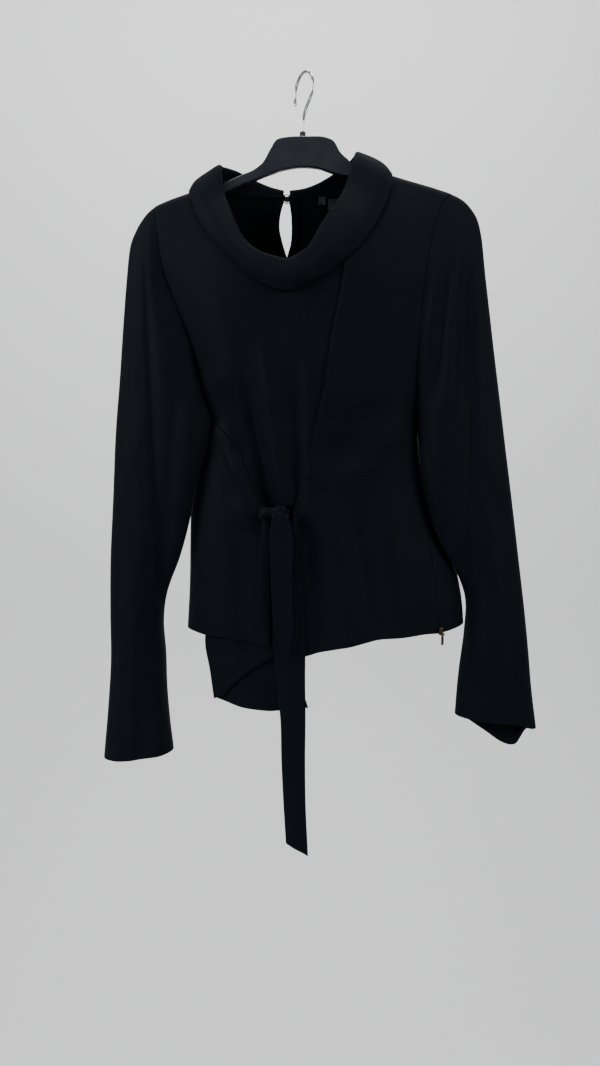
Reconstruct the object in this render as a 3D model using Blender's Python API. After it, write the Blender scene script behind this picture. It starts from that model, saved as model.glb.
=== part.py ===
"""A black long-sleeved wrap-front tunic on its hanger, as separate cloth walls.

Real size. The tables are in millimetres and the scene is in metres. +Z is up,
the front faces -Y, and +X is to the viewer's right. The origin is the top of
the inside of the hanger's hook, where a rail carries it.
"""

import math

import bmesh
import bpy
import numpy as np
from mathutils import Matrix, Vector

MM = 0.001

# Driving dimensions, in millimetres.
CLOTH = 1.2            # wall of one layer of cloth
SEAM = 0.3             # gap between pieces that are sewn together
LAYER = 2.4            # from the middle of one layer to the middle of the next
ARMHOLE_GAP = 0.7      # between a body panel's edge and the sleeve's first ring
NECK_GAP = 1.3         # between a body panel's edge and the foot of the collar

WIRE = 3.5             # hook wire
HOOK_INSIDE = 18.0     # inside radius of the hook
HOOK_TURN = 60.0       # degrees the hook's plane is turned from the hanger's
HEAD_TOP = -67.0       # top of the hanger's head, where the hook stands


# ---------------------------------------------------------------- small tools

def table(columns, rows):
    """Rows of numbers as {column name: array}."""
    return dict(zip(columns.split(), np.array(rows, float).T))


def smooth(knots, values, at):
    """A smooth curve through values at rising knots, read at the places in at."""
    values = np.asarray(values, float)
    at = np.clip(at, knots[0], knots[-1])
    slopes = np.gradient(values, knots, axis=0)
    i = np.clip(np.searchsorted(knots, at, side="right") - 1, 0, len(knots) - 2)
    width = knots[i + 1] - knots[i]
    t = (at - knots[i]) / width
    if values.ndim > 1:
        width, t = width[..., None], t[..., None]
    return (
        (2 * t**3 - 3 * t**2 + 1) * values[i]
        + (t**3 - 2 * t**2 + t) * width * slopes[i]
        + (3 * t**2 - 2 * t**3) * values[i + 1]
        + (t**3 - t**2) * width * slopes[i + 1]
    )


def path(*points):
    """A smooth curve through points, as a function of the share of its length."""
    points = np.array(points, float)
    steps = np.linalg.norm(np.diff(points, axis=0), axis=1)
    knots = np.concatenate([[0], np.cumsum(steps)]) / steps.sum()
    return lambda t: smooth(knots, points, np.asarray(t, float))


def eased(count):
    """Shares from 0 to 1 that lie closer together at both ends."""
    return (1 - np.cos(np.linspace(0, 1, count + 1) * math.pi)) / 2


def beside(curve, distance):
    """A curve in the plane moved sideways, to the left of its direction."""
    def at(t):
        t = np.asarray(t, float)
        d = curve(np.clip(t + 0.01, 0, 1)) - curve(np.clip(t - 0.01, 0, 1))
        d /= np.linalg.norm(d, axis=-1, keepdims=True)
        return curve(t) + distance * np.stack([-d[..., 1], d[..., 0]], -1)

    return at


def step_up(value, start, end):
    """0 before start, 1 after end, and smooth between."""
    t = np.clip((value - start) / (end - start), 0, 1)
    return t * t * (3 - 2 * t)


# ---------------------------------------------------------------- the body's form

# Heights down the body: its left and right outline, and how far front and back stand out.
BODY = table("z left right front back", [
    (-80, -215, 220, 40, 34),
    (-148, -205, 207, 41, 36),
    (-200, -178, 186, 43, 38),
    (-260, -153, 165, 46, 39),
    (-320, -132, 146, 47, 38),
    (-350, -123, 139, 47, 38),
    (-368, -113.5, 135, 46, 37),
    (-380, -103.5, 132.5, 45, 37),
    (-401, -107.5, 132.5, 45, 37),
    (-419, -111.5, 133.5, 44, 37),
    (-453, -121.5, 138, 44, 38),
    (-488, -130.5, 147.5, 45, 39),
    (-523, -137, 160, 47, 41),
    (-556, -138.5, 173, 49, 43),
    (-586, -139, 184, 51, 45),
    (-630, -140, 187.5, 53, 47),
    (-720, -141, 190, 55, 49),
])

SHOULDER = table("x z", [
    (-196, -165), (-175, -149.5), (-166, -145), (-130, -131), (-116, -123.5), (-92, -109), (-60, -95),
    (-15, -87), (30, -84), (60, -90), (88, -106.5), (100, -112), (143, -127), (178, -138), (200, -152),
])
RIDGE = 7.0                                # the cloth lies this far out over the hanger's arms
FULL_DROP = {"front": 130.0, "back": 95.0}     # below the shoulder by this, it stands fully out
FLATNESS = 2.4                             # 2 is an ellipse in plan, more is flatter in the middle

# Soft folds: a line from (x0, z0) to (x1, z1), half as wide as `width`, standing out by `height`.
FOLDS = {
    "front": table("x0 z0 x1 z1 width height", [
        (-72, -240, -34, -470, 22, 7.0),     # main fold of the drape, running to the knot
        (-10, -300, -22, -470, 14, 3.5),
        (-112, -300, -62, -440, 18, 3.0),
        (110, -300, 40, -420, 30, 3.0),      # pull from the armhole across the wrap
        (20, -470, 32, -655, 20, 5.0),       # waves of the peplum's hem
        (62, -500, 74, -650, 18, -4.0),
        (104, -480, 118, -640, 20, 4.0),
        (-110, -500, -118, -640, 20, 3.5),
        (-76, -520, -72, -650, 16, -2.5),
    ]),
    "back": table("x0 z0 x1 z1 width height", [
        (-60, -200, -92, -620, 24, 5.0),
        (20, -230, 34, -620, 22, 5.5),
        (96, -240, 128, -620, 22, 4.0),
        (-20, -320, -24, -620, 20, -3.5),
        (66, -330, 84, -620, 20, -3.0),
    ]),
}


def shoulder_height(x):
    return smooth(SHOULDER["x"], SHOULDER["z"], x)


def at_height(column, z):
    """One of BODY's columns at height z."""
    return smooth(-BODY["z"], BODY[column], -np.asarray(z, float))


def fold_height(folds, x, z):
    total = np.zeros_like(x)
    for x0, z0, x1, z1, width, height in zip(*folds.values()):
        dx, dz = x1 - x0, z1 - z0
        length = math.hypot(dx, dz)
        along = ((x - x0) * dx + (z - z0) * dz) / length**2
        across = ((x - x0) * dz - (z - z0) * dx) / length
        ends = step_up(along, -0.15, 0.35) * (1 - step_up(along, 1.05, 1.35))
        total += height * ends * np.exp(-((across / width) ** 2))
    return total


def stand_out(x, z, side):
    """How far the body's front or back stands out from the plane of the hanger."""
    left, right = at_height("left", z), at_height("right", z)
    across = np.clip(np.abs((2 * x - left - right) / (right - left)), 0, 1)
    drop = np.maximum(shoulder_height(x) - z, 0)
    ridge = RIDGE * np.sqrt(1 - (1 - np.minimum(drop / RIDGE, 1)) ** 2)
    fullness = 1 - (1 - np.minimum(drop / FULL_DROP[side], 1)) ** 2
    depth = (at_height(side, z) - RIDGE) * fullness + fold_height(FOLDS[side], x, z)
    return ridge * np.sqrt(1 - across**8) + depth * np.sqrt(1 - across**FLATNESS)


def on_body(flat, side, layer=0.0):
    """Points of the front view put on the body's front or back, layer mm further out.

    It gives the points and the cloth's outward directions there.
    """
    x, z = flat[..., 0], flat[..., 1]
    step = 0.4
    across = (stand_out(x + step, z, side) - stand_out(x - step, z, side)) / (2 * step)
    down = (stand_out(x, z + step, side) - stand_out(x, z - step, side)) / (2 * step)
    facing = -1.0 if side == "front" else 1.0
    y = facing * (stand_out(x, z, side) + SEAM / 2)
    # On the outline and on the shoulder line the slopes are steep, and front and back agree.
    at_edge = np.abs(y) < 1.0
    outward = np.sign(x - (at_height("left", z) + at_height("right", z)) / 2)
    across = np.where(at_edge & (np.abs(across) + np.abs(down) < 0.01), -outward, across)
    normal = np.stack([-across, np.where(at_edge, 0.0, facing), -down], -1)
    normal /= np.linalg.norm(normal, axis=-1, keepdims=True)
    return np.stack([x, y, z], -1) + normal * np.asarray(layer, float)[..., None], normal


# ---------------------------------------------------------------- walls

class Sheet:
    """The middle surface of a wall: grids of points, welded where they meet."""

    def __init__(self):
        self.points, self.normals, self.faces, self.index = [], [], [], {}

    def point(self, p, normal):
        key = tuple(np.round(p, 3) + 0.0)
        if key not in self.index:
            self.index[key] = len(self.points)
            self.points.append(p)
            self.normals.append(normal)
        return self.index[key]

    def grid(self, points, normals=None, closed=False):
        """Adds a grid of points, [row, column]. A closed grid joins its last column to its first."""
        points = np.asarray(points, float)
        if normals is None:
            normals = directions(points, closed)
        names = [[self.point(p, n) for p, n in zip(*row)] for row in zip(points, normals)]
        columns = len(names[0])
        for upper, lower in zip(names, names[1:]):
            for i in range(columns if closed else columns - 1):
                j = (i + 1) % columns
                # Triangles, so that both sides of the wall are split along the same diagonals.
                for face in ([upper[i], lower[i], lower[j]], [upper[i], lower[j], upper[j]]):
                    if len(set(face)) == 3:
                        self.faces.append(face)
        return self

    def wall(self, thickness=CLOTH):
        """(points, faces) of a closed wall round the middle surface."""
        points, normals, n = np.array(self.points), np.array(self.normals), len(self.points)
        outer, inner = points + normals * thickness / 2, points - normals * thickness / 2
        faces = [list(f) for f in self.faces] + [[v + n for v in reversed(f)] for f in self.faces]
        edges = {(f[k - 1], f[k]) for f in self.faces for k in range(len(f))}
        for a, b in edges:
            if (b, a) not in edges:
                faces.append([b, a, a + n, b + n])
        return np.concatenate([outer, inner]), faces


def directions(points, closed=False):
    """Unit directions square to a grid of points."""
    if closed:
        padded = np.concatenate([points[:, -1:], points, points[:, :1]], 1)
        along = padded[:, 2:] - padded[:, :-2]
    else:
        along = np.gradient(points, axis=1)
    normals = np.cross(np.gradient(points, axis=0), along)
    return normals / np.maximum(np.linalg.norm(normals, axis=-1, keepdims=True), 1e-9)


MATERIALS = {}


def material(name, colour, roughness, metallic=0.0):
    if name not in MATERIALS:
        made = bpy.data.materials.new(name)
        made.use_nodes = True
        shader = made.node_tree.nodes["Principled BSDF"]
        shader.inputs["Base Color"].default_value = (*colour, 1)
        shader.inputs["Roughness"].default_value = roughness
        shader.inputs["Metallic"].default_value = metallic
        made.diffuse_color = (*colour, 1)
        MATERIALS[name] = made
    return MATERIALS[name]


def crepe():
    return material("black_crepe", (0.012, 0.012, 0.014), 0.55)


def black_plastic():
    return material("black_plastic", (0.03, 0.032, 0.036), 0.4)


def steel():
    return material("steel", (0.72, 0.72, 0.72), 0.22, 1.0)


def volume_of(points, faces):
    total = 0.0
    for face in faces:
        p = points[face]
        total += sum(np.dot(p[0], np.cross(p[k], p[k + 1])) for k in range(1, len(p) - 1))
    return total / 6


def solid(name, points, faces, finish, sharp=40):
    """One object from points in millimetres. Its faces are turned outwards if they point in."""
    if volume_of(points, faces) < 0:
        faces = [list(reversed(f)) for f in faces]
    mesh = bpy.data.meshes.new(name)
    mesh.from_pydata((points * MM).tolist(), [], faces)
    mesh.materials.append(finish)
    mesh.shade_smooth()
    mesh.set_sharp_from_angle(angle=math.radians(sharp))
    made = bpy.data.objects.new(name, mesh)
    bpy.context.scene.collection.objects.link(made)
    return made


def cloth(name, sheet, thickness=CLOTH):
    return solid(name, *sheet.wall(thickness), crepe())


def tube(rings):
    """(points, faces) of a closed skin over rings of equally many points, with flat ends."""
    rings = np.array(rings)
    count, around = rings.shape[:2]
    faces = []
    for r in range(0, (count - 1) * around, around):
        for i in range(around):
            j = (i + 1) % around
            faces.append([r + i, r + around + i, r + around + j, r + j])
    faces.append(list(range(around)))
    faces.append([(count - 1) * around + i for i in reversed(range(around))])
    return rings.reshape(-1, 3), faces


# ---------------------------------------------------------------- edges of the cut pieces

NECK_FRONT = path(
    (-116, -123.5), (-112, -140), (-102, -162), (-89, -182), (-73, -200), (-55, -214), (-37, -224),
    (-18, -228), (0, -224), (17, -214), (34, -200), (50, -185), (64, -166), (77, -144), (85, -124),
    (88, -106.5),
)
NECK_CENTRE = 0.48      # share of the front neck seam at its lowest point
WRAP_START = 0.70       # where the wrap's edge leaves the neck seam
DRAPE_END = 0.80        # where the drape beneath the wrap ends
NECK_BACK = {
    "left": path((-116, -123.5), (-100, -125.5), (-81, -125.5), (-50, -125), (-22.5, -124.5)),
    "right": path((88, -106.5), (76, -114), (50, -121.5), (20, -124), (-17, -124.5)),
}
KEYHOLE = {
    "left": path((-22.5, -125.8), (-28, -142), (-29.6, -158), (-26.3, -174), (-20, -194)),
    "right": path((-17, -125.8), (-14, -142), (-13.3, -158), (-14.2, -174), (-20, -194)),
}
CENTRE_BACK = path((-20, -194), (-14, -300), (-4, -420), (10, -540), (20, -634))

ARMHOLE = {
    "left": path((-175, -149.5), (-170, -166), (-161, -194), (-148, -222), (-126, -298), (-117, -352),
                 (-103.5, -380)),
    "right": path((178, -138), (167, -144.5), (155, -155), (146, -174), (139, -205), (132, -262),
                  (128.5, -322), (128.5, -362), (131.5, -388)),
}
WRAP_EDGE = path((54, -186), (51, -225), (39, -272), (23, -345), (4, -435), (0, -448))
DRAPE_EDGE = path((72, -170), (68, -230), (50, -330), (32, -420), (14, -474))
CENTRE_FRONT = path((-18, -229.5), (-20, -300), (-23, -400), (-26, -480))
WAIST = path((0, -448), (30, -445), (60, -446), (86, -448), (112, -451), (137.8, -455))
ZIP_SEAM = path((137.8, -455), (137.5, -488), (143.6, -520), (150.5, -560), (155, -600), (157.6, -627))
BAND_LINE = path((-104, -386), (-94, -404), (-80, -431), (-66, -460), (-52, -482))
HEM_RIGHT = path((-8, -652), (0, -650), (41, -640), (87, -632), (145, -627), (157.6, -627))
HEM_LEFT = path((-139.8, -628), (-115, -630), (-91, -630.5), (-68, -634), (-39, -638))
HEM_BACK = path((-139.8, -628), (-80, -631), (20, -634), (110, -628), (187.2, -623))
HEM_BACK_CENTRE = 0.484


def run(curve, count, start=0.0, end=1.0):
    """Points along a stretch of a curve."""
    return curve(start + (end - start) * np.linspace(0, 1, count + 1))


def line(start, end, count):
    start, end = np.array(start, float), np.array(end, float)
    return start + (end - start) * np.linspace(0, 1, count + 1)[:, None]


def side_line(side, top, bottom, count):
    """Points down the body's outline in the front view."""
    z = np.linspace(top, bottom, count + 1)
    return np.stack([at_height(side, z), z], -1)


def shoulder_line(start, end, count):
    x = np.linspace(start, end, count + 1)
    return np.stack([x, shoulder_height(x)], -1)


def chain(*runs):
    """Runs of points end to end. Where one starts at the end of another, the point isn't repeated."""
    points = list(runs[0])
    for one in runs[1:]:
        points += list(one[1:] if np.allclose(one[0], points[-1], atol=0.05) else one)
    return np.array(points)


def share_along(*edges):
    """For each point of the edges, its share of their length, averaged."""
    found = []
    for edge in edges:
        steps = np.linalg.norm(np.diff(edge, axis=0), axis=1)
        found.append(np.concatenate([[0], np.cumsum(steps)]) / steps.sum())
    return np.mean(found, axis=0)


def fill(top, bottom, left, right):
    """A grid of the plane between four edges, which are arrays of points that meet at the corners."""
    top, bottom = np.array(top), np.array(bottom)
    top[0], top[-1], bottom[0], bottom[-1] = left[0], right[0], left[-1], right[-1]
    s, r = share_along(top, bottom)[None, :, None], share_along(left, right)[:, None, None]
    corners = (
        (1 - s) * (1 - r) * top[0] + s * (1 - r) * top[-1] + (1 - s) * r * bottom[0] + s * r * bottom[-1]
    )
    return (1 - s) * left[:, None] + s * right[:, None] + (1 - r) * top[None] + r * bottom[None] - corners


def moved(points, x=0.0, z=0.0):
    return points + np.array([x, z])


# ---------------------------------------------------------------- body panels

ARMHOLE_STEPS = 14


def armhole_edge(side):
    curve = beside(ARMHOLE[side], ARMHOLE_GAP if side == "left" else -ARMHOLE_GAP)
    return curve(eased(ARMHOLE_STEPS))


def neck_edge(count, start, end, power=1.0):
    """The body's edge just below the foot of the collar, in front."""
    t = start + (end - start) * np.linspace(0, 1, count + 1) ** power
    return beside(NECK_FRONT, -NECK_GAP)(t)


def front_drape():
    """The draped front, from the left armhole to under the wrap, gathered to the knot."""
    armhole = armhole_edge("left")
    left = chain(armhole, [(-104, -385.4)])
    right = chain(neck_edge(8, 0, NECK_CENTRE, 1.3), run(CENTRE_FRONT, len(left) - 10, 0.08, 1))
    band = run(beside(BAND_LINE, 0.6), 8)
    bottom = chain(left[-1:], band[1:], [(-39, -481), (-26, -480)])
    first = fill(shoulder_line(left[0, 0], right[0, 0], len(bottom) - 1), bottom, left, right)
    # The rest hangs from the neck seam right of the centre, on the rows below its lowest point.
    middle = right[8:]
    hidden = chain(neck_edge(1, DRAPE_END, DRAPE_END)[:1], run(DRAPE_EDGE, len(middle) - 2, 0.12, 1))
    second = fill(neck_edge(5, NECK_CENTRE, DRAPE_END), line(middle[-1], hidden[-1], 5), middle, hidden)
    sheet = Sheet()
    for flat in (first, second):
        layer = -LAYER * step_up(flat[..., 0], -72, -14)
        sheet.grid(*on_body(flat, "front", layer))
    return cloth("front_drape", sheet)


def front_wrap():
    """The other front, lapped over the drape along its slanting edge."""
    right = chain(armhole_edge("right"), side_line("right", -400, -455, 2))
    rest = len(right) - 1 - 6
    left = chain(neck_edge(6, 1, WRAP_START, 1.3), run(WRAP_EDGE, rest - 1, 0.12, 1))
    flat = fill(shoulder_line(left[0, 0], right[0, 0], 9), run(WAIST, 9), left, right)
    flat[-1, :, 1] += SEAM
    return cloth("front_wrap", Sheet().grid(*on_body(flat, "front")))


PEPLUM_ROWS = 8


def peplum_right():
    """Below the waist seam: it hangs from the wrap, with the zip in its side seam."""
    left = run(path((0, -448), (-6, -466), (-11, -482), (-12, -530), (-10, -600), (-8, -652)), PEPLUM_ROWS)
    right = run(ZIP_SEAM, PEPLUM_ROWS)
    flat = fill(run(WAIST, 14), run(HEM_RIGHT, 14), left, right)
    flat[:, -1, 0] -= SEAM / 2
    flat[0, :, 1] -= SEAM / 2
    return cloth("peplum_right", Sheet().grid(*on_body(flat, "front")))


def peplum_left():
    """Below the band: from the left side seam to a free edge beside the ties."""
    left = side_line("left", -388, -628, PEPLUM_ROWS)
    right = run(path((-52, -482), (-44, -496), (-40, -560), (-39, -638)), PEPLUM_ROWS)
    flat = fill(run(beside(BAND_LINE, -0.6), 8), run(HEM_LEFT, 8), left, right)
    return cloth("peplum_left", Sheet().grid(*on_body(flat, "front")))


def back_edges(side):
    """The outer edge and the centre edge of one half of the back."""
    outline = side_line(side, -392 if side == "left" else -400, -455, 3)
    bottom = -628 if side == "left" else -623
    outer = chain(armhole_edge(side), outline, side_line(side, -455, bottom, PEPLUM_ROWS))
    rest = len(outer) - 1 - 6 - 5
    centre = chain(
        moved(run(NECK_BACK[side], 6), z=-NECK_GAP),
        run(KEYHOLE[side], 5),
        run(CENTRE_BACK, rest),
    )
    return outer, moved(centre, x=-SEAM / 2 if side == "left" else SEAM / 2)


def back_left():
    outer, centre = back_edges("left")
    hem = run(HEM_BACK, 9, 0, HEM_BACK_CENTRE)
    flat = fill(shoulder_line(outer[0, 0], centre[0, 0], 9), hem, outer, centre)
    return cloth("back_left", Sheet().grid(*on_body(flat, "back")))


def back_right():
    """It wraps round the side as far as the zip seam, which lies on the front."""
    outer, centre = back_edges("right")
    hem = run(HEM_BACK, 9, HEM_BACK_CENTRE, 1)
    flat = fill(shoulder_line(centre[0, 0], outer[0, 0], 9), hem, centre, outer)
    sheet = Sheet().grid(*on_body(flat, "back"))
    outline, seam = outer[-PEPLUM_ROWS - 1:], moved(run(ZIP_SEAM, PEPLUM_ROWS), x=SEAM / 2)
    seam[0] = outline[0]
    strip = np.stack([outline + (seam - outline) * t for t in eased(6)[:4] * 2], 1)
    strip[:, -1] = seam
    points, normals = on_body(strip, "front")
    points[:, 0], normals[:, 0] = (one[:, 0] for one in on_body(strip[:, :1], "back"))
    sheet.grid(points, normals)
    return cloth("back_right", sheet)


# ---------------------------------------------------------------- sleeves

# Down each sleeve: the outer and the inner end of each ring, and how deep the ring is.
SLEEVES = {
    "left": table("ox oz ix iz depth", [
        (-175, -149.5, -103.5, -380, 22), (-182, -152.5, -105.5, -384, 23), (-188, -158, -107.5, -389, 24),
        (-192, -167, -110, -396, 25), (-195, -188, -113, -408, 26), (-199, -225, -118, -428, 27),
        (-205, -275, -127, -458, 27), (-212, -335, -137, -497, 26), (-219, -400, -149, -540, 25),
        (-224, -470, -163, -583, 25), (-228.5, -540, -168.5, -620, 26), (-233, -605, -166, -660, 27),
        (-237, -665, -164.5, -700, 28), (-240.5, -725, -161, -742, 29), (-243, -788, -159, -780, 30),
    ]),
    "right": table("ox oz ix iz depth", [
        (178, -138, 131.5, -388, 24), (185, -141, 133, -391, 25), (192, -147, 134.5, -395, 26),
        (199, -159, 135.5, -401, 27), (204.5, -180, 136.5, -411, 27), (209, -215, 138.5, -428, 28),
        (214, -265, 143.5, -456, 28), (222, -325, 153.5, -493, 27), (231.5, -390, 167, -532, 26),
        (242, -460, 182, -571, 25), (252, -528, 191, -600, 26), (261, -592, 192, -640, 27),
        (269, -652, 188, -678, 28), (277, -705, 185.5, -708, 29), (281.5, -752, 184, -733, 30),
    ]),
}
SLEEVE_HEAD = (1, 0.85, 0.66, 0.45, 0.27, 0.13, 0.05)     # how much each ring keeps the armhole's shape
CUFF_DIP = {"left": 0.0, "right": 26.0}                   # the back of the cuff hangs this much lower
SLEEVE_STEPS = 14                                         # from the top of a ring to its underside
SLEEVE_RINGS = 15


def sleeve(side):
    """A tube from the armhole to an open, level end, in a front and a back half."""
    rows = SLEEVES[side]
    turn = np.linspace(0, 2 * math.pi, 2 * SLEEVE_STEPS, endpoint=False)
    down = (1 - np.cos(turn)) / 2
    flat = ARMHOLE[side](down)
    in_front = (turn <= math.pi)[:, None]
    first, facing = (np.where(in_front, a, b) for a, b in zip(on_body(flat, "front"), on_body(flat, "back")))
    first[0, 1] = first[SLEEVE_STEPS, 1] = 0
    rings = []
    for ox, oz, ix, iz, depth in zip(*rows.values()):
        outer, inner = np.array([ox, 0, oz]), np.array([ix, 0, iz])
        ring = outer + (inner - outer) * down[:, None]
        ring[:, 1] = -depth * np.sin(turn)
        rings.append(ring)
    rings = np.array(rings)
    head = first - rings[0]
    for ring, kept in zip(rings, SLEEVE_HEAD):
        ring += kept * head
    # The end's back hangs lower than its front.
    behind = np.maximum(-np.sin(turn), 0)
    for ring, share in zip(rings[-5:], np.linspace(0, 1, 6)[1:]):
        ring[:, 2] -= CUFF_DIP[side] * share * behind
    knots = np.arange(len(rings), dtype=float)
    at = np.linspace(0, knots[-1], SLEEVE_RINGS)
    rings = smooth(knots, rings.reshape(len(rings), -1), at).reshape(SLEEVE_RINGS, -1, 3)
    normals = directions(rings, closed=True)
    normals[0] = facing * np.sign(np.sum(normals[0] * facing, axis=1, keepdims=True))
    for half, away in (("front", -SEAM / 2), ("back", SEAM / 2)):
        columns = np.arange(SLEEVE_STEPS + 1) + (0 if half == "front" else SLEEVE_STEPS)
        columns %= 2 * SLEEVE_STEPS
        points = rings[:, columns]
        points[:, [0, -1], 1] += away
        cloth(f"sleeve_{side}_{half}", Sheet().grid(points, normals[:, columns]))


# ---------------------------------------------------------------- collar

FOLD_RADIUS = 3.2

# Round the neck from one end at the centre back to the other: the top of the fold, the edge of
# the fall (as it is seen from the front, and how far it stands off the body), and the foot's
# share of its neck seam.
COLLAR = table("kx ky kz ex ez off seam foot", [
    (-24, 27.5, -117.5, -24, -160, 8, 0, 1.0),
    (-42, 26.5, -113, -48, -157, 7, 0, 0.78),
    (-62, 22.5, -105, -78, -151, 5, 0, 0.52),
    (-78, 14, -99.5, -104, -142, 4.5, 0, 0.27),
    (-90, 6, -98.5, -123, -133, 4, 0, 0.07),
    (-92, 0, -99.5, -129.5, -127, 0, 1, 0.0),
    (-92, -7, -104, -127, -132, 3.8, 1, 0.03),
    (-88.5, -15, -131, -119, -156, 3.6, 1, 0.11),
    (-78.5, -26, -157, -103, -181, 4, 1, 0.2),
    (-68, -34.5, -181, -84, -200.5, 5, 1, 0.28),
    (-55, -40.5, -195, -64, -221, 6.5, 1, 0.345),
    (-43, -44, -202, -48, -232, 7.5, 1, 0.395),
    (-30, -46, -206.5, -33, -239, 8.5, 1, 0.44),
    (-18, -47, -209.5, -18.5, -241, 9, 1, 0.48),
    (-8, -46.5, -204, -4, -237.5, 8.5, 1, 0.515),
    (5, -45, -194, 13, -228.5, 8, 1, 0.57),
    (16, -41, -176, 34, -215, 7, 1, 0.64),
    (27, -34, -157, 54, -199, 6, 1, 0.71),
    (40, -25, -140, 72, -177, 5, 1, 0.79),
    (48, -15, -119, 85, -154, 4.2, 1, 0.87),
    (54, -11.5, -98, 94, -134, 3.8, 1, 0.93),
    (57, -5, -87.5, 97.5, -119, 4.0, 1, 0.98),
    (57.5, 0, -85, 99, -106.5, 0, 1, 1.0),
    (57, 6, -85.5, 97, -115, 4.2, 2, 0.06),
    (54.5, 11, -87.5, 91, -125, 4.5, 2, 0.14),
    (50, 16, -91, 82, -134, 4.5, 2, 0.22),
    (38, 23, -98, 58, -146, 5, 2, 0.42),
    (20, 26.5, -108, 30, -154, 5.5, 2, 0.62),
    (2, 27.5, -115, 6, -159, 7, 2, 0.82),
    (-15.5, 27.5, -117.5, -15.5, -161, 8, 2, 1.0),
])
COLLAR_STATIONS = 42


def collar_lines():
    """The foot, the fold and the edge of the collar, as arrays of points round the neck."""
    feet, folds, edges = [], [], []
    for kx, ky, kz, ex, ez, off, seam, foot in zip(*COLLAR.values()):
        curve = (NECK_BACK["left"], NECK_FRONT, NECK_BACK["right"])[int(seam)]
        side = "front" if seam == 1 else "back"
        feet.append(on_body(curve(foot), side)[0])
        folds.append((kx, ky, kz))
        at_shoulder = off == 0
        facing = -1 if seam == 1 else 1
        y = 0 if at_shoulder else facing * (float(stand_out(np.array(ex), np.array(ez), side)) + off)
        edges.append((ex, y, ez))
        if at_shoulder:
            feet[-1][1] = 0
    knots = np.arange(len(feet), dtype=float)
    at = np.linspace(0, knots[-1], COLLAR_STATIONS)
    return [smooth(knots, np.array(one), at) for one in (feet, folds, edges)]


def collar():
    """A turned-over collar, open at the centre back."""
    feet, folds, edges = collar_lines()
    tangents = np.gradient(folds, axis=0)
    rows = []
    for foot, fold, edge, tangent in zip(feet, folds, edges, tangents):
        tangent = tangent / np.linalg.norm(tangent)
        crest = fold - (foot + edge) / 2
        crest -= tangent * np.dot(crest, tangent)
        crest /= np.linalg.norm(crest)
        out = np.cross(tangent, crest)
        out *= np.sign(np.dot(out, edge - foot))
        inner = fold - FOLD_RADIUS * (out + 1.1 * crest)
        outer = fold + FOLD_RADIUS * (out - 1.1 * crest)
        rows.append([
            foot,
            (foot + inner) / 2,
            inner,
            fold - FOLD_RADIUS * (0.65 * out + 0.25 * crest),
            fold,
            fold + FOLD_RADIUS * (0.65 * out - 0.25 * crest),
            outer,
            outer + (edge - outer) * 0.35 + 1.0 * out,
            outer + (edge - outer) * 0.7 + 0.7 * out,
            edge,
        ])
    return cloth("collar", Sheet().grid(rows))


# ---------------------------------------------------------------- waist: band, knot, ties, lower drape

KNOT_CENTRE = (-28, -58.4, -485.5)
KNOT_SIZE = (19, 7.5, 8.0)          # half width, half depth, half height


def waist_band():
    """The narrow band along the slanting seam, from the side to the knot."""
    upper = run(path((-99.5, -393.8), (-81.2, -421.9), (-66.3, -449.7), (-55, -469.7), (-49, -477)), 10)
    lower = run(path((-104.3, -397), (-93, -416.4), (-76.7, -449.9), (-64, -474), (-56, -487)), 10)
    flat = np.stack([lower + (upper - lower) * t for t in np.linspace(0, 1, 4)], 1)
    return cloth("waist_band", Sheet().grid(*on_body(flat, "front", 2.2)))


def lump(name, centre, size, finish, around=14, rings=8, power=0.75):
    """A closed rounded shape, a little squarer than an ellipsoid."""
    rows = []
    for t in np.linspace(-1, 1, rings + 2)[1:-1]:
        a = t * math.pi / 2
        turn = np.linspace(0, 2 * math.pi, around, endpoint=False)
        c, s = np.cos(turn), np.sin(turn)
        r = abs(math.cos(a)) ** power
        rows.append(np.stack([
            centre[0] + size[0] * math.sin(a) + 0 * c,
            centre[1] + size[1] * r * np.sign(c) * np.abs(c) ** 0.85,
            centre[2] + size[2] * r * np.sign(s) * np.abs(s) ** 0.85,
        ], -1))
    return solid(name, *tube(rows), finish)


def strip(name, left, right, back, rows, wave, steps=6):
    """A hanging strip between two edges, which are curves of (x, z). `back` is how far in front of
    the hanger it hangs, and `wave` is how its section stands out from one edge to the other."""
    t = np.linspace(0, 1, rows + 1)
    a, b = left(t), right(t)
    s = np.linspace(0, 1, steps + 1)
    flat = a[:, None] + (b - a)[:, None] * s[:, None]
    depth = np.interp(t, np.linspace(0, 1, len(back)), back)[:, None]
    sway = np.interp(s, np.linspace(0, 1, len(wave)), wave)[None] * np.minimum(t * 6 + 0.3, 1)[:, None]
    return cloth(name, Sheet().grid(np.stack([flat[..., 0], -(depth + sway), flat[..., 1]], -1)))


def ties():
    strip(
        "tie_long",
        path((-37, -493.6), (-37, -538), (-36, -584), (-35, -630), (-32, -677), (-27, -724), (-26, -771),
             (-24, -819), (-21, -872)),
        path((-14, -493.6), (-9, -538), (-4, -584), (1, -630), (1.5, -677), (2, -724), (1.5, -771), (2, -819),
             (5, -889)),
        (58.2, 57.2, 57, 57.4, 57.6, 58, 58), 18, (0, 0.5, 0.8, 0.4, -0.4, -0.8),
    )
    strip(
        "tie_short",
        path((-46.5, -492.4), (-51, -539), (-53, -585), (-53, -636)),
        path((-39.5, -492.4), (-38.5, -539), (-38.5, -585), (-39, -636)),
        (56.5, 56, 57, 58), 8, (0, 1.0, 0.5), 3,
    )


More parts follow.
